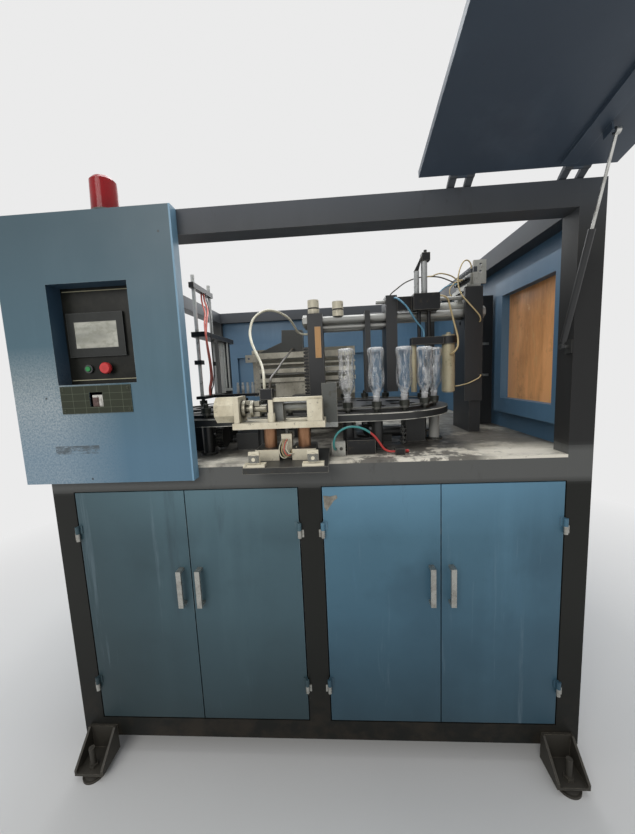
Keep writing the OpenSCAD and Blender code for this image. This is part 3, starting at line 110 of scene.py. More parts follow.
class Mat:
    """Principled material with object coordinates, which are the row frame at rest.

    A factor is a node's output from 0 to 1, and tint() mixes a colour in where its factor is 1.
    """

    def __init__(self, name, color, rough=0.5, metal=0.0, **sockets):
        self.m = bpy.data.materials.new(name)
        self.m.use_nodes = True
        self.t = self.m.node_tree
        self.b = self.t.nodes["Principled BSDF"]
        self.co = self.t.nodes.new("ShaderNodeTexCoord").outputs["Object"]
        self.b.inputs["Base Color"].default_value = lin(color)
        self.b.inputs["Roughness"].default_value = rough
        self.b.inputs["Metallic"].default_value = metal
        for k, v in sockets.items():
            self.b.inputs[k.replace("_", " ")].default_value = v
        self.color = None

    def new(self, kind, **values):
        n = self.t.nodes.new(kind)
        for k, v in values.items():
            setattr(n, k, v)
        return n

    def link(self, a, b):
        self.t.links.new(a, b)

    def math(self, op, a, b, clamp=True):
        n = self.new("ShaderNodeMath", operation=op, use_clamp=clamp)
        for i, v in enumerate((a, b)):
            if isinstance(v, (int, float)):
                n.inputs[i].default_value = v
            else:
                self.link(v, n.inputs[i])
        return n.outputs[0]

    def both(self, a, b):
        """Product of two factors, so 1 where both are 1."""
        return self.math("MULTIPLY", a, b)

    def either(self, a, b):
        """The larger of two factors."""
        return self.math("MAXIMUM", a, b)

    def remap(self, value, lo, hi, to_lo=0.0, to_hi=1.0):
        r = self.new("ShaderNodeMapRange")
        r.inputs["From Min"].default_value = lo
        r.inputs["From Max"].default_value = hi
        r.inputs["To Min"].default_value = to_lo
        r.inputs["To Max"].default_value = to_hi
        self.link(value, r.inputs["Value"])
        return r.outputs["Result"]

    def noise(self, scale, detail=4.0, rough=0.55, stretch=(1, 1, 1), lo=0.4, hi=0.6):
        v = self.new("ShaderNodeMapping")
        v.inputs["Scale"].default_value = stretch
        self.link(self.co, v.inputs["Vector"])
        n = self.new("ShaderNodeTexNoise")
        n.inputs["Scale"].default_value = scale
        n.inputs["Detail"].default_value = detail
        n.inputs["Roughness"].default_value = rough
        self.link(v.outputs["Vector"], n.inputs["Vector"])
        return self.remap(n.outputs["Fac"], lo, hi)

    def part(self, axis):
        s = self.new("ShaderNodeSeparateXYZ")
        self.link(self.co, s.inputs["Vector"])
        return s.outputs[axis]

    def along(self, axis, lo, hi):
        """0 at lo and 1 at hi along an axis, in machine millimetres."""
        shift = (-FOOT_IN, FOOT_OUT, 0)[axis]
        return self.remap(self.part(axis), (lo + shift) / 1000, (hi + shift) / 1000)

    def inside(self, lo, hi):
        """1 inside a box in machine millimetres, given by its lowest and highest corners."""
        fac = None
        for axis, shift in enumerate((-FOOT_IN, FOOT_OUT, 0)):
            for v, op in ((lo[axis], "GREATER_THAN"), (hi[axis], "LESS_THAN")):
                if v is None:
                    continue
                n = self.math(op, self.part(axis), (v + shift) / 1000, False)
                fac = n if fac is None else self.both(fac, n)
        return fac

    def edges(self, radius=0.003, lo=0.985, hi=0.93):
        """1 where a small rounding would turn the surface, so at corners and edges."""
        bevel = self.new("ShaderNodeBevel", samples=4)
        bevel.inputs["Radius"].default_value = radius
        g = self.new("ShaderNodeNewGeometry")
        d = self.new("ShaderNodeVectorMath", operation="DOT_PRODUCT")
        self.link(bevel.outputs[0], d.inputs[0])
        self.link(g.outputs["Normal"], d.inputs[1])
        return self.remap(d.outputs["Value"], lo, hi)

    def grime_and_shade(self, reach=0.03, lo=0.9, hi=0.4):
        """1 in corners and crevices; a dark tint there is partly grime and partly painted shade."""
        ao = self.new("ShaderNodeAmbientOcclusion", samples=6)
        ao.inputs["Distance"].default_value = reach
        return self.remap(ao.outputs["AO"], lo, hi)

    def upright(self):
        """1 on faces that stand upright."""
        g = self.new("ShaderNodeNewGeometry")
        s = self.new("ShaderNodeSeparateXYZ")
        self.link(g.outputs["True Normal"], s.inputs["Vector"])
        return self.math("LESS_THAN", self.math("ABSOLUTE", s.outputs[2], 0.0, False), 0.5, False)

    def tint(self, fac, color, amount=1.0):
        n = self.new("ShaderNodeMix", data_type="RGBA")
        if self.color is None:
            n.inputs["A"].default_value = self.b.inputs["Base Color"].default_value[:]
        else:
            self.link(self.color, n.inputs["A"])
        n.inputs["B"].default_value = lin(color)
        self.link(self.both(fac, amount), n.inputs["Factor"])
        self.color = n.outputs["Result"]
        self.link(self.color, self.b.inputs["Base Color"])

    def rough(self, fac, lo, hi):
        self.link(self.remap(fac, 0, 1, lo, hi), self.b.inputs["Roughness"])

    def bump(self, fac, strength=0.2, distance=0.001):
        n = self.new("ShaderNodeBump")
        n.inputs["Strength"].default_value = strength
        n.inputs["Distance"].default_value = distance
        self.link(fac, n.inputs["Height"])
        self.link(n.outputs["Normal"], self.b.inputs["Normal"])

    def specular(self, level):
        self.b.inputs["Specular IOR Level"].default_value = level


def painted(name, color, dark, light, rough=0.42, wear=(150, 146, 136), wear_amount=0.5, grime_and_shade=0.0):
    """Sheet or casting with brushed paint: soft clouds, vertical streaks, specks and worn edges."""
    a = Mat(name, color, rough)
    cloud = a.noise(1.7, 5, 0.55, lo=0.32, hi=0.7)
    a.tint(cloud, dark, 0.4)
    a.tint(a.noise(4, 6, 0.65, (1.4, 1.4, 0.16), 0.5, 0.74), light, 0.45)
    a.tint(a.noise(150, 2, 0.5, lo=0.7, hi=0.76), dark, 0.5)
    # Crevices darkened as grime and painted shade
    if grime_and_shade:
        a.tint(a.both(a.grime_and_shade(), a.noise(18, 4, 0.7, lo=0.3, hi=0.6)), (38, 35, 30), grime_and_shade)
    a.tint(a.both(a.edges(), a.noise(30, 4, 0.7, lo=0.4, hi=0.6)), wear, wear_amount)
    a.rough(cloud, rough - 0.06, rough + 0.12)
    a.bump(a.noise(220, 3, 0.6, lo=0.3, hi=0.7), 0.1, 0.0005)
    return a


def metal(name, color, dark, rough=0.35, metallic=0.8, grime_and_shade=0.4, stretch=(1, 1, 1)):
    """Bare or plated metal with dull patches, and crevices darkened as grime and painted shade."""
    a = Mat(name, color, rough, metallic)
    a.tint(a.noise(26, 5, 0.7, stretch, 0.45, 0.66), dark, 0.55)
    # Crevices darkened as grime and painted shade
    a.tint(a.grime_and_shade(0.02), dark, grime_and_shade)
    a.rough(a.noise(40, 4, 0.6, stretch, 0.4, 0.65), rough - 0.08, rough + 0.15)
    return a


def mottled(name, color, dark, rough, scale, detail=3, lo=0.4, hi=0.6, **sockets):
    """Plain plastic or glass with soft darker spots."""
    a = Mat(name, color, rough, **sockets)
    a.tint(a.noise(scale, detail, 0.6, lo=lo, hi=hi), dark, 0.5)
    return a


def frame_material():
    a = painted("frame_paint", (68, 69, 68), (54, 54, 52), (84, 86, 86), 0.5, (132, 126, 114), 0.5)
    a.specular(0.22)
    # Painted light: bluer and lighter towards the top, and paler on the deck rails
    a.tint(a.along(2, 1880, 2030), (82, 86, 92), 0.8)
    a.tint(a.inside((N, N, 1090), (N, N, 1215)), (102, 103, 101), 0.8)
    # Painted shade on the right posts above the deck
    post = a.both(a.along(2, 1970, 1790), a.along(2, 1195, 1230))
    a.tint(a.both(a.along(0, 1812, 1822), post), (34, 34, 34), 0.85)
    # Painted shade: nearly black below the deck rails, and darker still towards the floor
    a.tint(a.along(2, 1110, 1080), (24, 25, 21), 0.9)
    a.tint(a.along(2, 620, 120), (12, 13, 10), 0.75)
    # Brown runs, and dust at the foot
    a.tint(a.noise(7, 7, 0.75, (1, 1, 0.4), 0.6, 0.72), (46, 42, 38), 0.4)
    a.tint(a.both(a.along(2, 330, 90), a.noise(9, 5, 0.7, lo=0.42, hi=0.62)), (58, 50, 40), 0.5)
    return a


def door_material(name, color, dark, light):
    a = painted(name, color, dark, light, 0.4, (176, 184, 184), 0.55)
    a.specular(0.35)
    # Painted light from above, painted shade below and in patches, and towards the bottom painted shade with
    # dirt
    a.tint(a.along(2, 960, 520), dark, 0.6)
    a.tint(a.along(2, 900, 1085), light, 0.75)
    a.tint(a.both(a.noise(2.6, 4, 0.6, lo=0.46, hi=0.62), a.along(2, 1060, 800)), dark, 0.6)
    a.tint(a.along(2, 600, 140), (18, 30, 32), 0.6)
    # Painted shade, darker towards the left and the right side of the machine
    a.tint(a.along(0, 560, 100), (34, 48, 50), 0.5)
    a.tint(a.along(0, 1420, 1830), dark, 0.35)
    # Pale and dark runs
    a.tint(a.noise(5, 7, 0.75, (2.2, 2.2, 0.1), 0.6, 0.72), (150, 170, 182), 0.28)
    a.tint(a.noise(6, 6, 0.7, (1.6, 1.6, 0.2), 0.6, 0.7), (48, 62, 70), 0.34)
    return a


def cover_material():
    a = painted("cover_paint", (74, 106, 120), (64, 92, 104), (90, 122, 136), 0.44, (164, 178, 184), 0.6)
    # Painted shade, darker towards the top
    a.tint(a.along(2, 1560, 2000), (46, 72, 82), 0.75)
    # Painted sheen, speckled, at the lower left
    sheen = a.both(a.along(2, 1620, 1420), a.along(0, 330, 90))
    a.tint(a.both(sheen, a.noise(150, 5, 0.8, lo=0.32, hi=0.6)), (190, 196, 196), 0.9)
    # Painted light, lighter and bluer towards the bottom
    a.tint(a.along(2, 1500, 1240), (92, 130, 158), 0.5)
    # Rubbed smudge low on the cover, and dark dots at its screws
    smudge = a.inside((72, N, 1246), (232, -41, 1275))
    a.tint(a.both(smudge, a.noise(26, 6, 0.8, (0.5, 1, 1.4), 0.42, 0.56)), (72, 80, 84), 0.85)
    dot = 7
    for x, z in ((190, 1152), (510, 1956), (60, 1440)):
        a.tint(a.inside((x, N, z), (x + dot, -41, z + dot)), (34, 38, 42), 0.8)
    # Right side, which catches the light
    a.tint(a.inside((552, N, N), OPEN), (140, 184, 212), 0.6)
    # The reveal round the recess lies in deep blue shade
    a.tint(a.inside((100, -39.5, 1480), (400, 30, 1822)), (44, 66, 88), 0.75)
    return a


def deck_material():
    a = Mat("deck_steel", (240, 234, 218), 0.42)
    a.tint(a.noise(4, 8, 0.7, (1, 1.6, 1), 0.46, 0.7), (176, 168, 148), 0.6)
    a.tint(a.noise(12, 7, 0.72, (1, 2.2, 1), 0.55, 0.68), (92, 84, 70), 0.75)
    # Dirt and painted shade: behind the front strip, under the right end of the track, and at the left
    front = a.both(a.along(1, 90, 230), a.noise(4, 6, 0.7, lo=0.3, hi=0.5))
    a.tint(front, (46, 44, 42), 0.85)
    under = a.both(a.both(a.along(0, 1060, 1120), a.along(0, 1600, 1520)), a.along(1, 900, 640))
    a.tint(a.both(under, a.noise(9, 5, 0.7, lo=0.44, hi=0.5)), (44, 43, 42), 0.8)
    left = a.both(a.along(0, 860, 640), a.noise(5, 6, 0.7, lo=0.36, hi=0.54))
    a.tint(left, (86, 84, 80), 0.8)
    # Crevices and the deck round the parts darkened as grime and painted shade
    a.tint(a.grime_and_shade(0.06, 0.85, 0.3), (40, 37, 33), 0.7)
    a.rough(a.noise(8, 4, 0.6, lo=0.4, hi=0.65), 0.3, 0.6)
    a.bump(a.noise(90, 5, 0.6, lo=0.3, hi=0.7), 0.2, 0.0008)
    return a


def pane_material():
    a = Mat("amber_pane", (240, 176, 118), 0.3)
    a.tint(a.noise(6, 6, 0.7, (1, 1, 0.2), 0.46, 0.66), (164, 110, 64), 0.7)
    a.tint(a.noise(14, 7, 0.8, (1, 2.2, 0.6), 0.57, 0.68), (214, 176, 124), 0.7)
    a.tint(a.noise(5, 6, 0.7, lo=0.56, hi=0.7), (132, 86, 50), 0.6)
    a.tint(a.noise(40, 4, 0.7, (1, 1, 0.5), 0.66, 0.72), (228, 200, 156), 0.6)
    return a


def bar_material():
    a = Mat("bar_steel", (172, 172, 167), 0.36, 0.3)
    a.tint(a.noise(9, 4, 0.6, (0.5, 1, 1), 0.5, 0.72), (142, 140, 132), 0.6)
    # Crevices darkened as grime and painted shade
    a.tint(a.grime_and_shade(0.05, 0.8, 0.3), (54, 52, 48), 0.7)
    return a


def track_material():
    a = painted("track_paint", (36, 37, 37), (26, 27, 26), (54, 56, 54), 0.38, (176, 176, 166), 0.85, 0.5)
    # Bright rims along the upper and lower edges of the plate's side, rubbed paint and painted highlight
    # together
    low = Z_TRACK - TRACK_T
    rim = a.either(a.inside((N, N, Z_TRACK - 3.2), OPEN), a.inside((N, N, low), (N, N, low + 2.4)))
    rim = a.both(rim, a.upright())
    a.tint(a.both(rim, a.noise(7, 4, 0.7, lo=0.36, hi=0.5)), (226, 224, 212), 0.9)
    # The one leg of bare steel
    a.tint(a.inside((1459, 333, Z_DECK + 8), (1505, 379, 1302)), (186, 186, 180), 0.85)
    return a


def lens_material():
    a = Mat("beacon_red", (168, 16, 26), 0.16, Transmission_Weight=0.25, IOR=1.35)
    a.tint(a.along(2, 2110, 2060), (120, 12, 20), 0.6)
    a.tint(a.noise(18, 4, 0.6, (1, 1, 0.3), 0.45, 0.7), (196, 48, 50), 0.5)
    return a


def bottle_material():
    a = Mat("clear_pet", (252, 253, 253), 0.04, Transmission_Weight=1.0, IOR=1.32)
    a.tint(a.along(2, Z_NECK + 26, Z_NECK + 22), (255, 255, 255), 0.9)
    # Milky where the wall is thick: neck, rings and foot, and in streaks between them
    milk = a.either(a.along(2, Z_NECK + 50, Z_NECK + 20), a.along(2, Z_NECK + 190, Z_NECK + 206))
    streak = a.noise(60, 4, 0.7, (1, 1, 0.14), 0.52, 0.6)
    a.link(a.remap(a.either(milk, streak), 0, 1, 0.99, 0.7), a.b.inputs["Transmission Weight"])
    a.bump(a.noise(34, 3, 0.6, (1, 1, 0.3), 0.35, 0.65), 0.5, 0.002)
    return a


def panel_material():
    a = Mat("black_plastic", (28, 29, 25), 0.34, Specular_IOR_Level=0.2)
    a.tint(a.noise(24, 4, 0.6, lo=0.45, hi=0.7), (46, 46, 40), 0.6)
    # Thin cream trim lines along the panel's top and bottom
    for z in (1500, 1806):
        a.tint(a.inside((118, N, z), (387, 30, z + 2.6)), (196, 190, 160), 0.9)
    return a


def bezel_material():
    a = Mat("bezel_plastic", (44, 46, 44), 0.4, Specular_IOR_Level=0.25)
    a.tint(a.noise(30, 4, 0.6, lo=0.4, hi=0.65), (34, 36, 34), 0.7)
    a.tint(a.edges(0.003), (96, 98, 96), 0.7)
    return a


def screen_material():
    a = Mat("screen_glass", (176, 175, 162), 0.14)
    a.tint(a.noise(9, 3, 0.5, (1, 1, 1.4), 0.4, 0.62), (202, 202, 190), 0.7)
    a.tint(a.noise(5, 2, 0.5, (1, 1, 4), 0.5, 0.66), (140, 142, 134), 0.6)
    a.tint(a.noise(34, 4, 0.6, (1, 1, 1.6), 0.46, 0.6), (146, 147, 132), 0.55)
    return a


def smoked_material():
    a = Mat("smoked_plate", (46, 51, 36), 0.3, Specular_IOR_Level=0.3)
    a.tint(a.noise(16, 5, 0.6, lo=0.45, hi=0.68), (38, 42, 31), 0.6)
    # Faint engraved grid
    line = 1.4
    for x in (160, 204, 248, 292, 336):
        a.tint(a.inside((x, N, N), (x + line, N, N)), (104, 112, 94), 0.6)
    for z in (1406, 1430, 1454):
        a.tint(a.inside((N, N, z), (N, N, z + line)), (104, 112, 94), 0.5)
    a.tint(a.edges(0.002), (120, 126, 108), 0.6)
    return a


def terminal_material():
    """Brown, with white above and at the right."""
    a = Mat("terminal", (206, 204, 196), 0.4)
    a.tint(a.inside(OPEN, (253, N, 1441)), (74, 42, 36), 0.95)
    a.tint(a.noise(60, 4, 0.6, lo=0.5, hi=0.7), (92, 84, 74), 0.5)
    return a


def tape_material():
    a = Mat("tape", (150, 146, 134), 0.5)
    a.tint(a.noise(50, 5, 0.7, lo=0.4, hi=0.6), (96, 90, 80), 0.7)
    return a


CREAM = (232, 224, 200)
CREAM_DARK = (176, 162, 132)
ALU = (188, 188, 180)
BLACK = (34, 35, 37)
BLACK_DARK = (30, 31, 32)
PLUG = (70, 74, 78)
ROD = (200, 202, 200)


def machined(name, color=CREAM, dark=CREAM_DARK, regions=(), rough=0.42, metallic=0.15):
    """Machined or cast metal; each region is (lowest corner, highest corner, colour)."""
    a = Mat(name, color, rough, metallic)
    a.specular(0.3)
    a.tint(a.noise(10, 6, 0.7, (1, 1, 0.5), 0.42, 0.66), dark, 0.6)
    for lo, hi, c in regions:
        a.tint(a.inside(lo, hi), c, 1.0)
    a.tint(a.noise(34, 5, 0.75, lo=0.58, hi=0.68), (74, 66, 52), 0.6)
    # Recesses darkened as grime and painted shade
    a.tint(a.both(a.grime_and_shade(0.035, 0.85, 0.3), a.noise(12, 4, 0.7, lo=0.25, hi=0.55)), (34, 31, 27), 0.9)
    a.tint(a.edges(), (214, 208, 192), 0.35)
    a.bump(a.noise(160, 3, 0.6, lo=0.3, hi=0.7), 0.12, 0.0005)
    return a


# Filters with their black rings, cover strip, and cable chain
CLAMP_REGIONS = [
    ((930, N, 1768), (1000, N, 1840), CREAM),
    ((1040, N, 1752), (1120, 560, 1840), CREAM),
    ((930, N, 1792.8), (1000, N, 1799.5), BLACK),
    ((1040, N, 1779.8), (1120, 560, 1786.5), BLACK),
    ((966, 470, 1560), (996, 480.5, 1710), (196, 152, 104)),
    ((900, 470, 1380), (933.5, 500, 1660), BLACK),
]
# Plugs of the manifold, valve block on the deck, and junction block with its red end
VALVE_REGIONS = [
    ((1660, N, 1880), (1691, N, 1912), PLUG),
    ((1690, N, 1916.2), (1716, N, 1940), PLUG),
    ((1091, 83, N), (1197, 135, 1240), (34, 35, 36)),
    ((1263, 50, N), (1320, 100, 1240), (36, 37, 38)),
    ((1298.2, 50, N), (1320, 100, 1240), (170, 40, 36)),
]
# Dark hood, and dull reflector
OVEN_REGIONS = [
    ((638, 705, 1612.3), (889, 780, 1732), (76, 77, 74)),
    ((N, 830, N), OPEN, (150, 146, 132)),
]
# Crossbar, block and picker bar on the bright rods
CARRIAGE_REGIONS = [
    ((N, N, 1905.8), (N, N, 1930.2), BLACK),
    ((N, N, 1555.8), (N, N, 1576.2), BLACK),
    (OPEN, (N, N, 1406.2), BLACK),
]
# Front faces of the guide blocks, lift cylinder, edge clamps, and their nuts
BASE_REGIONS = [
    ((N, -53, 1204.6), (N, -51.2, 1243), CREAM),
    ((862, -16, 1204.6), (904, 30, N), CREAM),
    ((N, -140, 1204.2), (N, -100, N), CREAM),
    ((N, -135.4, 1218), (N, -128, 1242), (120, 120, 114)),
]
# Block of the hoses, cylinder, its mount, dark bracket at the right, and guides below the plate
PLATE_REGIONS = [
    ((806, -45, 1408.5), (848, -7, 1446), BLACK),
    ((848.5, -12, 1362), (965, 36, 1398), (146, 148, 144)),
    ((846.5, -22, 1333.2), (878, 43, 1402), (128, 130, 126)),
    ((1006, 63.6, 1290), (1062, 75, 1456), (96, 98, 95)),
    (OPEN, (N, N, 1311.8), (176, 178, 174)),
]
# Bright upper part
STRETCH_BASE_REGIONS = [
    ((N, N, 1822.5), OPEN, (182, 184, 182)),
]
# The two rods of the head
STRETCH_HEAD_REGIONS = [
    ((1462.5, 459, N), (1479.5, 477, 1964), ROD),
    ((1430, 461, N), (1444, 475, 1924), ROD),
]
# Cylinders below the crossbar
LIFT_FRAME_REGIONS = [
    ((430, 690, N), (470, 790, 1682.6), (214, 216, 210)),
]

frame_paint = frame_material()
# The left pair of doors gets a darker copy of the door paint, as painted shade
door_left_paint_shaded = door_material("door_paint_left_shaded", (76, 104, 114), (56, 78, 86), (98, 128, 138))
door_right_paint = door_material("door_paint_right", (82, 122, 142), (58, 90, 108), (110, 156, 182))
panel_paint = painted("panel_paint", (78, 112, 138), (58, 86, 110), (100, 134, 160),
                      0.42, (150, 164, 170), 0.4)
hatch_paint = painted("hatch_paint", (66, 78, 92), (52, 60, 72), (84, 98, 112), 0.4, (120, 134, 144), 0.7)
black_paint = painted("black_paint", (37, 38, 39), (26, 27, 28), (52, 53, 54),
                      0.42, (120, 118, 112), 0.55, 0.5)
foot_paint = painted("foot_paint", (50, 47, 40), (34, 32, 27), (72, 67, 58), 0.6, (140, 132, 116), 0.5, 0.5)
zinc = metal("zinc_steel", (176, 176, 170), (112, 106, 96), 0.34, 0.75)

MATERIALS = {
    "frame_posts": frame_paint,
    "frame_rails": frame_paint,
    "deck_plate": deck_material(),
    "wall_panels": panel_paint,
    "hinge_pins": zinc,
    "foot_brackets": foot_paint,
    "levelling_feet": foot_paint,
    "control_cover": cover_material(),
    "enclosure": panel_paint,
    "panel_plate": panel_material(),
    "screen_bezel": bezel_material(),
    "screen": screen_material(),
    "button_collars": metal("satin_ring", (78, 80, 80), (40, 40, 40), 0.3, 0.7),
    "start_button": mottled("green_plastic", (44, 150, 78), (30, 112, 56), 0.3, 60),
    "stop_button": mottled("red_plastic", (212, 62, 62), (168, 34, 38), 0.25, 30, 4, 0.5, 0.7),
    "smoked_cover": smoked_material(),
    "beacon_base": mottled("beacon_grey", (104, 102, 98), (70, 68, 64), 0.6, 40, 4),
    "beacon_lens": lens_material(),
    "window_frame": panel_paint,
    "window_pane": pane_material(),
    "hatch_panel": hatch_paint,
    "hatch_hardware": frame_paint,
    "strut_rod": metal("bright_steel", (206, 206, 202), (132, 128, 120), 0.3, 0.85),
    "strut_cylinder": black_paint,
    "track": track_material(),
    "star_wheel_right": black_paint,
    "star_wheel_left": black_paint,
    "chain_links": metal("chain_steel", (104, 104, 98), (46, 44, 40), 0.42, 0.6),
    "mandrels": metal("mandrel_steel", (60, 62, 56), (34, 34, 30), 0.4, 0.45),
    "clamp_plates": black_paint,
    "clamp_platen": black_paint,
    "tie_bars": bar_material(),
    "clamp_cylinder": machined("clamp_cylinder_metal", ALU, (112, 112, 106), CLAMP_REGIONS),
    "guide_columns": machined("blow_cylinder_metal", (196, 188, 160), (158, 146, 112)),
    "stretch_base": machined("stretch_base_metal", BLACK, BLACK_DARK, STRETCH_BASE_REGIONS),
    "stretch_head": machined("stretch_head_metal", BLACK, BLACK_DARK, STRETCH_HEAD_REGIONS),
    "valve_island": machined("valve_metal", ALU, (120, 120, 112), VALVE_REGIONS),
    "oven_body": machined("oven_metal", (222, 216, 198), (150, 142, 122), OVEN_REGIONS),
    "oven_lamps": mottled("lamp_glass", (206, 206, 200), (180, 178, 170), 0.2, 30, Transmission_Weight=0.5),
    "lift_frame": machined("lift_frame_metal", BLACK, BLACK_DARK, LIFT_FRAME_REGIONS),
    "lift_carriage": machined("lift_carriage_metal", (222, 224, 220), (160, 160, 152), CARRIAGE_REGIONS),
    "turnover_base": machined("turnover_base_metal", (60, 61, 60), (42, 42, 40), BASE_REGIONS),
    "guide_bushes": metal("bronze", (158, 118, 88), (92, 62, 44), 0.36, 0.7, 0.5, (1, 1, 0.3)),
    "turnover_plate": machined("turnover_plate_metal", CREAM, CREAM_DARK, PLATE_REGIONS),
    "turn_shaft": machined("turn_shaft_metal", (172, 168, 152), (118, 112, 98), (), 0.36, 0.5),
}
for k in DOORS:
    MATERIALS[f"door_{k}"] = door_left_paint_shaded if k < 3 else door_right_paint
    MATERIALS[f"door_handle_{k}"] = zinc
for name, mat in MATERIALS.items():
    NODES[name].data.materials.clear()
    NODES[name].data.materials.append(mat.m)

# Rolled tube corners, folded sheet edges and broken edges of machined blocks
BEVELS = {"frame_posts": 4, "frame_rails": 4, "control_cover": 2.5, "hatch_panel": 2, "screen_bezel": 2,
          "window_frame": 1.5, "clamp_platen": 1.2}
for k in DOORS:
    BEVELS[f"door_{k}"] = 1.6
    BEVELS[f"door_handle_{k}"] = 2
for name, width in BEVELS.items():
    mod = NODES[name].modifiers.new("bevel", "BEVEL")
    mod.width = width / 1000
    mod.segments = 2
    mod.limit_method = "ANGLE"
    mod.angle_limit = math.radians(50)
    mod.harden_normals = True


# Pieces
def place(ob, body, mat):
    """Adds the piece to the scene, on its body and with its material."""
    ob.data.materials.append(mat.m)
    scene.collection.objects.link(ob)
    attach(ob, body)
    return ob


def mesh_piece(name, bm, body, mat, smooth=35):
    """Object of the mesh, smooth where faces meet at less than that many degrees."""
    bmesh.ops.recalc_face_normals(bm, faces=bm.faces)
    me = bpy.data.meshes.new(name)
    bm.to_mesh(me)
    bm.free()
    for poly in me.polygons:
        poly.use_smooth = True
    me.set_sharp_from_angle(angle=math.radians(smooth))
    return place(bpy.data.objects.new(name, me), body, mat)


def revolve(bm, profile, origin, sides, wave):
    """Closed upright solid: profile is (radius, height) pairs from axis to axis; wave adds to a radius."""
    base = P(*origin)
    rings = []
    for r, h in profile:
        if r == 0:
            rings.append([bm.verts.new(base + Vector((0, 0, h / 1000)))])
            continue
        row = []
        for k in range(sides):
            a = 2 * math.pi * k / sides
            q = r + wave(a, h)
            row.append(bm.verts.new(base + Vector((q * math.cos(a), q * math.sin(a), h)) / 1000))
        rings.append(row)
    for a, b in zip(rings, rings[1:]):
        for k in range(sides):
            corners = []
            for v in (a[k % len(a)], a[(k + 1) % len(a)], b[(k + 1) % len(b)], b[k % len(b)]):
                if v not in corners:
                    corners.append(v)
            if len(corners) > 2:
                bm.faces.new(corners)


def spline(p, i, t):
    """Point at t from 0 to 1 between points i and i + 1 of a smooth curve through all points."""
    a, b, c, d = p[max(i - 1, 0)], p[i], p[i + 1], p[min(i + 2, len(p) - 1)]
    bend = (2 * a - 5 * b + 4 * c - d) * t * t
    return 0.5 * ((2 * b) + (c - a) * t + bend + (3 * b - a - 3 * c + d) * t * t * t)


def tube(bm, line, r, sides=12):
    """Sweeps a ring along the line, with its first and last rings square to the ends."""
    ways = [(line[min(i + 1, len(line) - 1)] - line[max(i - 1, 0)]).normalized() for i in range(len(line))]
    side = ways[0].orthogonal().normalized()
    rings = []
    for q, way in zip(line, ways):
        side = (side - way * side.dot(way)).normalized()
        other = way.cross(side)
        rings.append([bm.verts.new(q + r * (math.cos(a) * side + math.sin(a) * other))
                      for a in (2 * math.pi * k / sides for k in range(sides))])
    for a, b in zip(rings, rings[1:]):
        for k in range(sides):
            bm.faces.new((a[k], a[(k + 1) % sides], b[(k + 1) % sides], b[k]))
    bm.faces.new(rings[0][::-1])
    bm.faces.new(rings[-1])


def eased(line, radius, step=0.004, held=2, rounds=4000):
    """Even steps along the line, with every bend tighter than the radius opened; the ends stay."""
    even, rest = [line[0]], 0.0
    for a, b in zip(line, line[1:]):
        span = (b - a).length
        at = step - rest
        while at <= span:
            even.append(a.lerp(b, at / span))
            at += step
        rest = span - (at - step)
    even[-1] = line[-1]
    for _ in range(rounds):
        tight = False
        for i in range(held, len(even) - held):
            pull = (even[i - 1] + even[i + 1]) / 2 - even[i]
            if pull.length > step * step / (2 * radius):
                even[i] = even[i] + pull * 0.6
                tight = True
        if not tight:
            break
    return even


def hose_mat(name, color, dark, red_from=None):
    """Soft tube with darker clouds; right of red_from it is red."""
    a = Mat(name, color, 0.35)
    a.tint(a.noise(18, 4, 0.6, lo=0.45, hi=0.7), dark, 0.6)
    if red_from:
        a.tint(a.inside((red_from, N, N), OPEN), (196, 52, 48), 0.95)
    a.bump(a.noise(120, 3, 0.6), 0.1, 0.0004)
    return a


HOSES = {
    "white_hose": hose_mat("white_hose", (226, 222, 200), (190, 180, 152)),
    "grey_hose": hose_mat("grey_hose", (78, 71, 60), (52, 46, 39)),
    "red_hose": hose_mat("red_hose", (228, 112, 94), (186, 70, 58)),
    "cream_hose": hose_mat("cream_hose", (204, 184, 138), (166, 144, 98)),
    "blue_hose": hose_mat("blue_hose", (110, 164, 190), (78, 128, 156)),
    "teal_cable": hose_mat("teal_cable", (66, 146, 144), (40, 100, 100), red_from=1176),
    "black_paint": hose_mat("black_cable", (34, 35, 36), (22, 22, 23)),
}
# Bends tighter than so many diameters are opened, in hoses and in thin limp wires
BEND = 4.6
BEND_LIMP = 2.3
# Steps of a route between two of its points
STEPS = 6


def hose(name, pts, d, slot, body="machine", node=None, stiff="medium", bend=None):
    """Free tube through the points; it stands for the node of that name where there is one."""
    pts = [P(*q) for q in pts]
    line = [spline(pts, i, k / STEPS) for i in range(len(pts) - 1) for k in range(STEPS)] + [pts[-1]]
    line = eased(line, (BEND_LIMP if stiff == "limp" else BEND) * d / 1000)
    bm = bmesh.new()
    tube(bm, line, d / 2000)
    ob = mesh_piece(name + "_tube", bm, body, HOSES[slot])
    if bend:
        ob.parent = None
        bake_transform(ob)
    if node:
        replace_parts(ob, node)


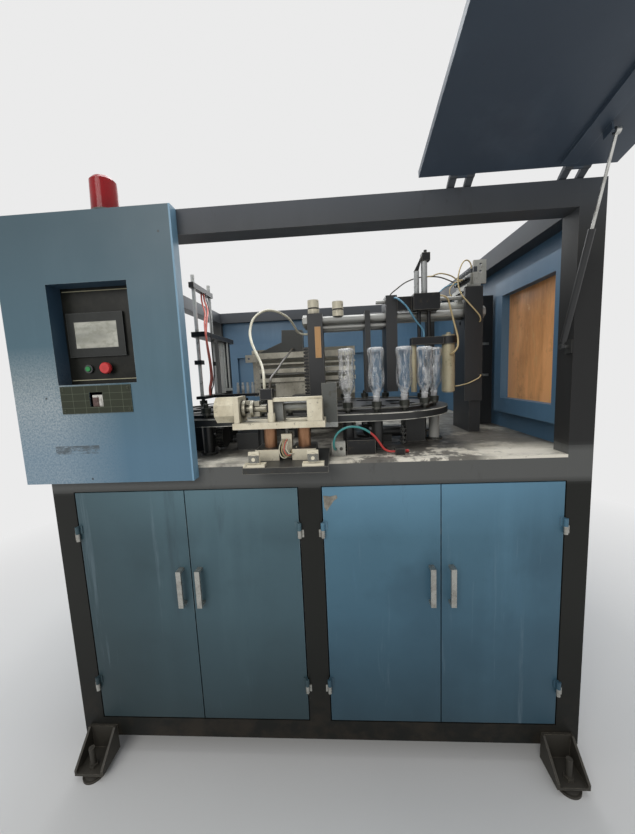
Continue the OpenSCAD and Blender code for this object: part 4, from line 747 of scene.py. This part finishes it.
# Routes of the six cords of the CAD, each with a straight stretch at both ends
WHITE = [[820, -26, 1445], [820, -26, 1457], [820, -26, 1469], [816, -8, 1492], [798, 50, 1530],
         [768, 100, 1578], [744, 143, 1624], [732, 187, 1666], [737, 230, 1715], [764, 273, 1750],
         [794, 317, 1763], [829, 360, 1757], [860, 403, 1737], [878, 456, 1706], [888, 494, 1684],
         [903, 508, 1678], [918, 508, 1678], [933, 508, 1678]]
GREY = [[838, -26, 1445], [838, -26, 1455], [838, -26, 1465], [837, 4, 1478], [828, 100, 1490],
        [818, 268, 1514], [821, 417, 1556], [830, 566, 1598], [834, 640, 1620], [835, 678, 1626],
        [835, 692, 1626], [835, 706, 1626]]
RED = [[420, 562, 1906], [420, 562, 1894], [420, 562, 1882], [430, 548, 1858], [454, 506, 1812],
       [470, 440, 1756], [476, 400, 1690], [476, 404, 1625], [468, 440, 1560], [450, 488, 1490],
       [430, 514, 1446], [426, 520, 1430], [426, 520, 1418], [426, 520, 1406]]
CREAM_ROUTE = [[1531, 440, 1808], [1541, 440, 1808], [1551, 440, 1808], [1566, 440, 1798],
               [1576, 440, 1760], [1592, 434, 1690], [1606, 424, 1620], [1600, 412, 1572],
               [1586, 412, 1554], [1580, 423, 1550], [1580, 434, 1550], [1580, 445, 1550]]
BLUE = [[1338, 480, 1815], [1338, 470, 1815], [1338, 460, 1815], [1343, 444, 1810], [1360, 434, 1794],
        [1382, 430, 1770], [1404, 432, 1738], [1426, 440, 1706], [1450, 450, 1680], [1464, 456, 1662],
        [1466, 456, 1650], [1466, 456, 1641], [1466, 456, 1632]]
FRONT = [[1048, 77, 1212], [1048, 62, 1212], [1048, 47, 1212], [1044, 30, 1226], [1044, 22, 1250],
         [1058, 28, 1276], [1086, 40, 1292], [1120, 50, 1294], [1156, 58, 1282], [1190, 64, 1256],
         [1214, 70, 1222], [1228, 72, 1202], [1240, 72, 1195], [1252, 72, 1195], [1264, 72, 1195]]
hose("white_hose", WHITE, 10, "white_hose", node="white_hose", bend="turnover_plate")
hose("grey_hose", GREY, 9, "grey_hose", node="grey_hose", bend="turnover_plate")
hose("red_hose", RED, 9, "red_hose", body="lift_carriage", node="red_hose")
hose("cream_hose", CREAM_ROUTE, 8, "cream_hose", node="cream_hose")
hose("blue_hose", BLUE, 8, "blue_hose", node="blue_hose")
hose("front_cable", FRONT, 8, "teal_cable", node="front_cable")

# Air tubes of the valve manifold, and a low one from the large blow cylinder
AIR = [
    ("amber_tube_1", 6, "cream_hose", [
        [1700, 528, 1938], [1700, 528, 1948], [1698, 526, 1958], [1682, 518, 1974], [1656, 504, 1964],
        [1634, 490, 1924], [1624, 480, 1870], [1634, 466, 1816], [1656, 450, 1778], [1684, 440, 1740],
        [1706, 440, 1712], [1714, 444, 1694], [1714, 453, 1690], [1714, 462, 1690]]),
    ("amber_tube_2", 6, "cream_hose", [
        [1670, 553, 1896], [1660, 553, 1896], [1646, 552, 1898], [1610, 540, 1916], [1560, 516, 1922],
        [1524, 488, 1910], [1504, 472, 1900], [1494, 468, 1900], [1484.5, 468, 1900]]),
    ("amber_tube_3", 5, "cream_hose", [
        [1670, 578, 1896], [1660, 578, 1896], [1644, 578, 1892], [1620, 574, 1866], [1616, 566, 1838],
        [1628, 558, 1820], [1648, 555, 1818], [1652, 555, 1812], [1652, 555, 1803]]),
    ("grey_tube_1", 6, "grey_hose", [
        [1670, 603, 1896], [1660, 603, 1896], [1640, 602, 1902], [1570, 592, 1926], [1480, 576, 1926],
        [1410, 560, 1904], [1362, 550, 1872], [1336, 546, 1852], [1328, 545, 1842], [1328, 545, 1831]]),
    ("blue_tube_2", 6, "blue_hose", [
        [1670, 628, 1896], [1660, 628, 1896], [1642, 626, 1894], [1606, 606, 1880], [1570, 576, 1852],
        [1540, 560, 1828], [1522, 556, 1822], [1517, 555, 1814], [1517, 555, 1803]]),
    ("low_tube", 5, "cream_hose", [
        [1609, 474, 1404], [1620, 474, 1404], [1634, 470, 1406], [1664, 452, 1416], [1700, 444, 1434],
        [1716, 446, 1446], [1720, 453, 1450], [1720, 462, 1450]]),
]
# Tubes beside the red hose, which ride on the lift carriage as it does
LIFT = [
    ("red_hose_2", 8, "red_hose", [
        [408, 560, 1906], [408, 560, 1894], [408, 559, 1880], [418, 542, 1850], [442, 500, 1800],
        [462, 430, 1742], [480, 386, 1680], [486, 386, 1620], [480, 420, 1556], [462, 474, 1490],
        [440, 504, 1446], [434, 510, 1430], [433, 510, 1418], [433, 510, 1406]]),
    ("black_cable_1", 6, "black_paint", [
        [432, 556, 1906], [432, 556, 1894], [433, 554, 1880], [446, 536, 1850], [468, 500, 1790],
        [484, 456, 1730], [490, 424, 1670], [488, 430, 1600], [478, 462, 1530], [456, 500, 1462],
        [434, 532, 1434], [430, 536, 1418], [430, 536, 1406]]),
]
for body, tubes in (("machine", AIR), ("lift_carriage", LIFT)):
    for name, d, slot, pts in tubes:
        hose(name, pts, d, slot, body=body)


# Thin wires in front of the turnover unit's lift cylinder
WIRE_D = 3.6
WIRE_X = 868
WIRE_PITCH = 8
Z_WIRE = 1213


def base_wire(k):
    """Points of wire k, which hangs in a loop; each starts further right and hangs less low."""
    x = WIRE_X + WIRE_PITCH * k
    low = Z_WIRE + 5 * k
    out = 2 * k
    return [[x, -14, 1268], [x, -19, 1268], [x, -25, 1267], [x - 3, -36, 1260], [x - 6, -46, 1246],
            [x - 4, -54 - out, low + 16], [x + 3, -58 - out, low + 4], [x + 12, -56 - out, low],
            [x + 20, -48, low + 3], [x + 24, -36, low + 10], [x + 24, -24, low + 14],
            [x + 24, -14, low + 15]]


for k, slot in enumerate(("white_hose", "cream_hose", "red_hose", "white_hose")):
    hose(f"base_wire_{k + 1}", base_wire(k), WIRE_D, slot, stiff="limp")


# Bottles: neck down on the mandrels, with threads, rings, a fluted waist and a five-lobed foot
def station(k):
    """Centre of mandrel k: 0 to 8 go round the right half circle, and 27 stands left of 0 at the front."""
    turn = 2 * math.pi / POCKETS
    pitch_mm = 2 * TRACK_R * math.sin(turn / 2)
    if k <= POCKETS / 2:
        return TRACK_X + TRACK_R * math.sin(k * turn), TRACK_Y - TRACK_R * math.cos(k * turn)
    return TRACK_X - (MANDRELS - k) * pitch_mm, TRACK_Y - TRACK_R


# Mandrels that carry a bottle
BOTTLES_ON = (27, 0, 1, 2, 3)
# Outside of a bottle as (radius, height) pairs from the lip to the foot, its pushed-up middle, and its wall
BOTTLE = [(12.4, 0), (12.4, 4), (13.6, 5), (13.6, 6), (12.4, 7), (12.4, 8), (13.6, 9), (13.6, 10),
          (12.4, 11), (12.4, 16), (15.6, 17), (15.6, 20), (12.6, 21), (12.6, 24), (14.2, 31), (17.6, 38),
          (22, 46), (26.4, 54), (29.6, 62), (31.2, 69), (31.6, 74), (29.8, 76.5), (31.8, 79), (32, 83),
          (30, 85.5), (32, 88), (32, 92), (30, 94.5), (32, 97), (32, 101), (30, 103.5), (31.8, 106),
          (31.4, 112), (30, 120), (28.8, 130), (28.2, 140), (28.2, 152), (28.9, 162), (30.2, 170),
          (31.4, 176), (32, 182), (32, 194), (31.4, 199), (29, 203.5), (24, 206)]
BOTTLE_DOME = [(16, 203), (8, 199), (0, 198)]
BOTTLE_WALL = 0.7
BOTTLE_SIDES = 60


def swell(h, middle, reach):
    """1 at the middle height, falling to 0 at the reach above and below it."""
    return max(0.0, 1 - abs(h - middle) / reach)


def bottle_wave(a, h):
    """Added radius at angle a and height h: flutes at the waist, swirl at the shoulder, lobes at the foot."""
    flutes = 0.9 * math.cos(9 * a) * swell(h, 144, 26)
    swirl = 0.5 * math.cos(6 * a + h / 9) * swell(h, 52, 18)
    lobes = -4.5 * max(0.0, math.cos(5 * a)) ** 3 * max(0.0, (h - 188) / 18)
    return flutes + swirl + lobes


def bottles():
    """Inner and outer skins of five bottles, joined at the lip of each neck."""
    bm = bmesh.new()
    skin = [(r, h - BOTTLE_WALL) for r, h in reversed(BOTTLE_DOME)]
    skin += [(r - BOTTLE_WALL, h) for r, h in reversed(BOTTLE)]
    skin += BOTTLE + BOTTLE_DOME
    for k in BOTTLES_ON:
        revolve(bm, skin, (*station(k), Z_NECK), BOTTLE_SIDES, bottle_wave)
    return bm


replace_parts(mesh_piece("bottle_set", bottles(), "machine", bottle_material(), 60), "bottles")


def blocks(name, items, body, mat, edge=1.0):
    """One piece of blocks with broken edges; each item is (lowest corner, highest corner)."""
    bm = bmesh.new()
    for lo, hi in items:
        box = bmesh.ops.create_cube(bm, size=0.001)["verts"]
        bmesh.ops.scale(bm, vec=[b - a for a, b in zip(lo, hi)], verts=box)
        bmesh.ops.translate(bm, vec=P(*[(a + b) / 2 for a, b in zip(lo, hi)]), verts=box)
    bmesh.ops.bevel(bm, geom=bm.edges[:], offset=edge / 1000, segments=2, profile=0.5, affect="EDGES")
    mesh_piece(name, bm, body, mat, 40)


# Clips in the slots of the rear riser
Z_CLIPS = (1439, 1599)
CLIP_H = 12
blocks("riser_clips", [((1810, 694, z), (1856, 705, z + CLIP_H)) for z in Z_CLIPS]
       + [((1810, 678, z), (1822, 694.5, z + CLIP_H)) for z in Z_CLIPS], "machine", zinc)

# Terminal behind the cut-out of the smoked plate
blocks("terminal", [((229, -42.5, 1409), (265, -40.1, 1449)), ((233, -44.5, 1427), (248, -42.3, 1445)),
                    ((236, -44, 1412), (250, -42.3, 1423)), ((252, -44.5, 1413), (261, -42.3, 1440))],
       "machine", terminal_material(), 0.5)

# Torn strip of tape at the top left corner of door 3: outline, and Y of its outer and inner faces
TAPE = [(999, 1060), (1024, 1056), (1046, 1061), (1050, 1050), (1036, 1040), (1022, 1020), (1010, 1002),
        (1002, 1016)]
TAPE_FRONT = 0.3
TAPE_BACK = 0.95


def tape_strip():
    bm = bmesh.new()
    front = [bm.verts.new(P(x, TAPE_FRONT, z)) for x, z in TAPE]
    back = [bm.verts.new(P(x, TAPE_BACK, z)) for x, z in TAPE]
    bm.faces.new(front)
    bm.faces.new(back[::-1])
    for k in range(len(TAPE)):
        n = (k + 1) % len(TAPE)
        bm.faces.new((front[k], back[k], back[n], front[n]))
    return bm


mesh_piece("tape_strip", tape_strip(), "door_3", tape_material())

# Floor, world and lights; from here on, places are metres
PALE = (0.83, 0.83, 0.83, 1)
DAYLIGHT = (0.93, 0.95, 1.0, 1)
DAYLIGHT_POWER = 0.42
FLOOR_MIDDLE = (0.9, 0.6, 0)
FLOOR_SIZE = 30
FADE_FROM = 1.6
FADE_TO = 3.6


def seen(tree):
    """1 for the rays that show the backdrop: camera, mirror and glass rays."""
    path = tree.nodes.new("ShaderNodeLightPath")
    fac = path.outputs["Is Camera Ray"]
    for kind in ("Is Glossy Ray", "Is Transmission Ray"):
        n = tree.nodes.new("ShaderNodeMath")
        n.operation = "MAXIMUM"
        tree.links.new(fac, n.inputs[0])
        tree.links.new(path.outputs[kind], n.inputs[1])
        fac = n.outputs[0]
    return fac


def floor_material():
    """Pale floor, which fades into the backdrop away from the machine."""
    a = Mat("floor", (226, 226, 224), 0.7)
    a.tint(a.noise(0.6, 3, 0.5), (220, 220, 218), 0.5)
    far = a.new("ShaderNodeVectorMath", operation="DISTANCE")
    a.link(a.co, far.inputs[0])
    far.inputs[1].default_value = FLOOR_MIDDLE
    glow = a.new("ShaderNodeEmission")
    glow.inputs["Color"].default_value = PALE
    mixed = a.new("ShaderNodeMixShader")
    a.link(a.both(a.remap(far.outputs["Value"], FADE_FROM, FADE_TO), seen(a.t)), mixed.inputs[0])
    a.link(a.b.outputs[0], mixed.inputs[1])
    a.link(glow.outputs[0], mixed.inputs[2])
    a.link(mixed.outputs[0], a.t.nodes["Material Output"].inputs[0])
    return a


def make_floor():
    me = bpy.data.meshes.new("floor")
    bm = bmesh.new()
    bmesh.ops.create_grid(bm, x_segments=1, y_segments=1, size=FLOOR_SIZE)
    bm.to_mesh(me)
    bm.free()
    floor = bpy.data.objects.new("floor", me)
    me.materials.append(floor_material().m)
    scene.collection.objects.link(floor)
    return floor


def make_world():
    """Soft daylight from all sides, with the pale backdrop where it is seen."""
    world = bpy.data.worlds.new("world")
    scene.world = world
    world.use_nodes = True
    t = world.node_tree
    sky = t.nodes["Background"]
    sky.inputs["Color"].default_value = DAYLIGHT
    sky.inputs["Strength"].default_value = DAYLIGHT_POWER
    pale = t.nodes.new("ShaderNodeBackground")
    pale.inputs["Color"].default_value = PALE
    pale.inputs["Strength"].default_value = 1.0
    mixer = t.nodes.new("ShaderNodeMixShader")
    t.links.new(seen(t), mixer.inputs[0])
    t.links.new(sky.outputs[0], mixer.inputs[1])
    t.links.new(pale.outputs[0], mixer.inputs[2])
    t.links.new(mixer.outputs[0], t.nodes["World Output"].inputs[0])


def area(name, loc, target, size, power, color):
    li = bpy.data.lights.new(name, "AREA")
    li.shape = "RECTANGLE"
    li.size, li.size_y = size
    li.energy = power
    li.color = color
    ob = bpy.data.objects.new(name, li)
    scene.collection.objects.link(ob)
    ob.location = loc
    ob.rotation_euler = (Vector(target) - Vector(loc)).to_track_quat("-Z", "Y").to_euler()


make_floor()
make_world()
WARM = (1.0, 0.98, 0.95)
COOL = (0.96, 0.98, 1.0)
area("key", (-0.8, -4.2, 3.6), (0.9, 0.2, 1.0), size=(3.0, 2.4), power=95, color=WARM)
area("top", (0.9, 1.2, 4.6), (0.9, 0.9, 1.2), size=(3.2, 3.2), power=100, color=COOL)
area("back", (1.2, 5.2, 3.4), (0.9, 1.0, 1.4), size=(3.6, 2.0), power=60, color=COOL)

scene.view_settings.view_transform = "Standard"
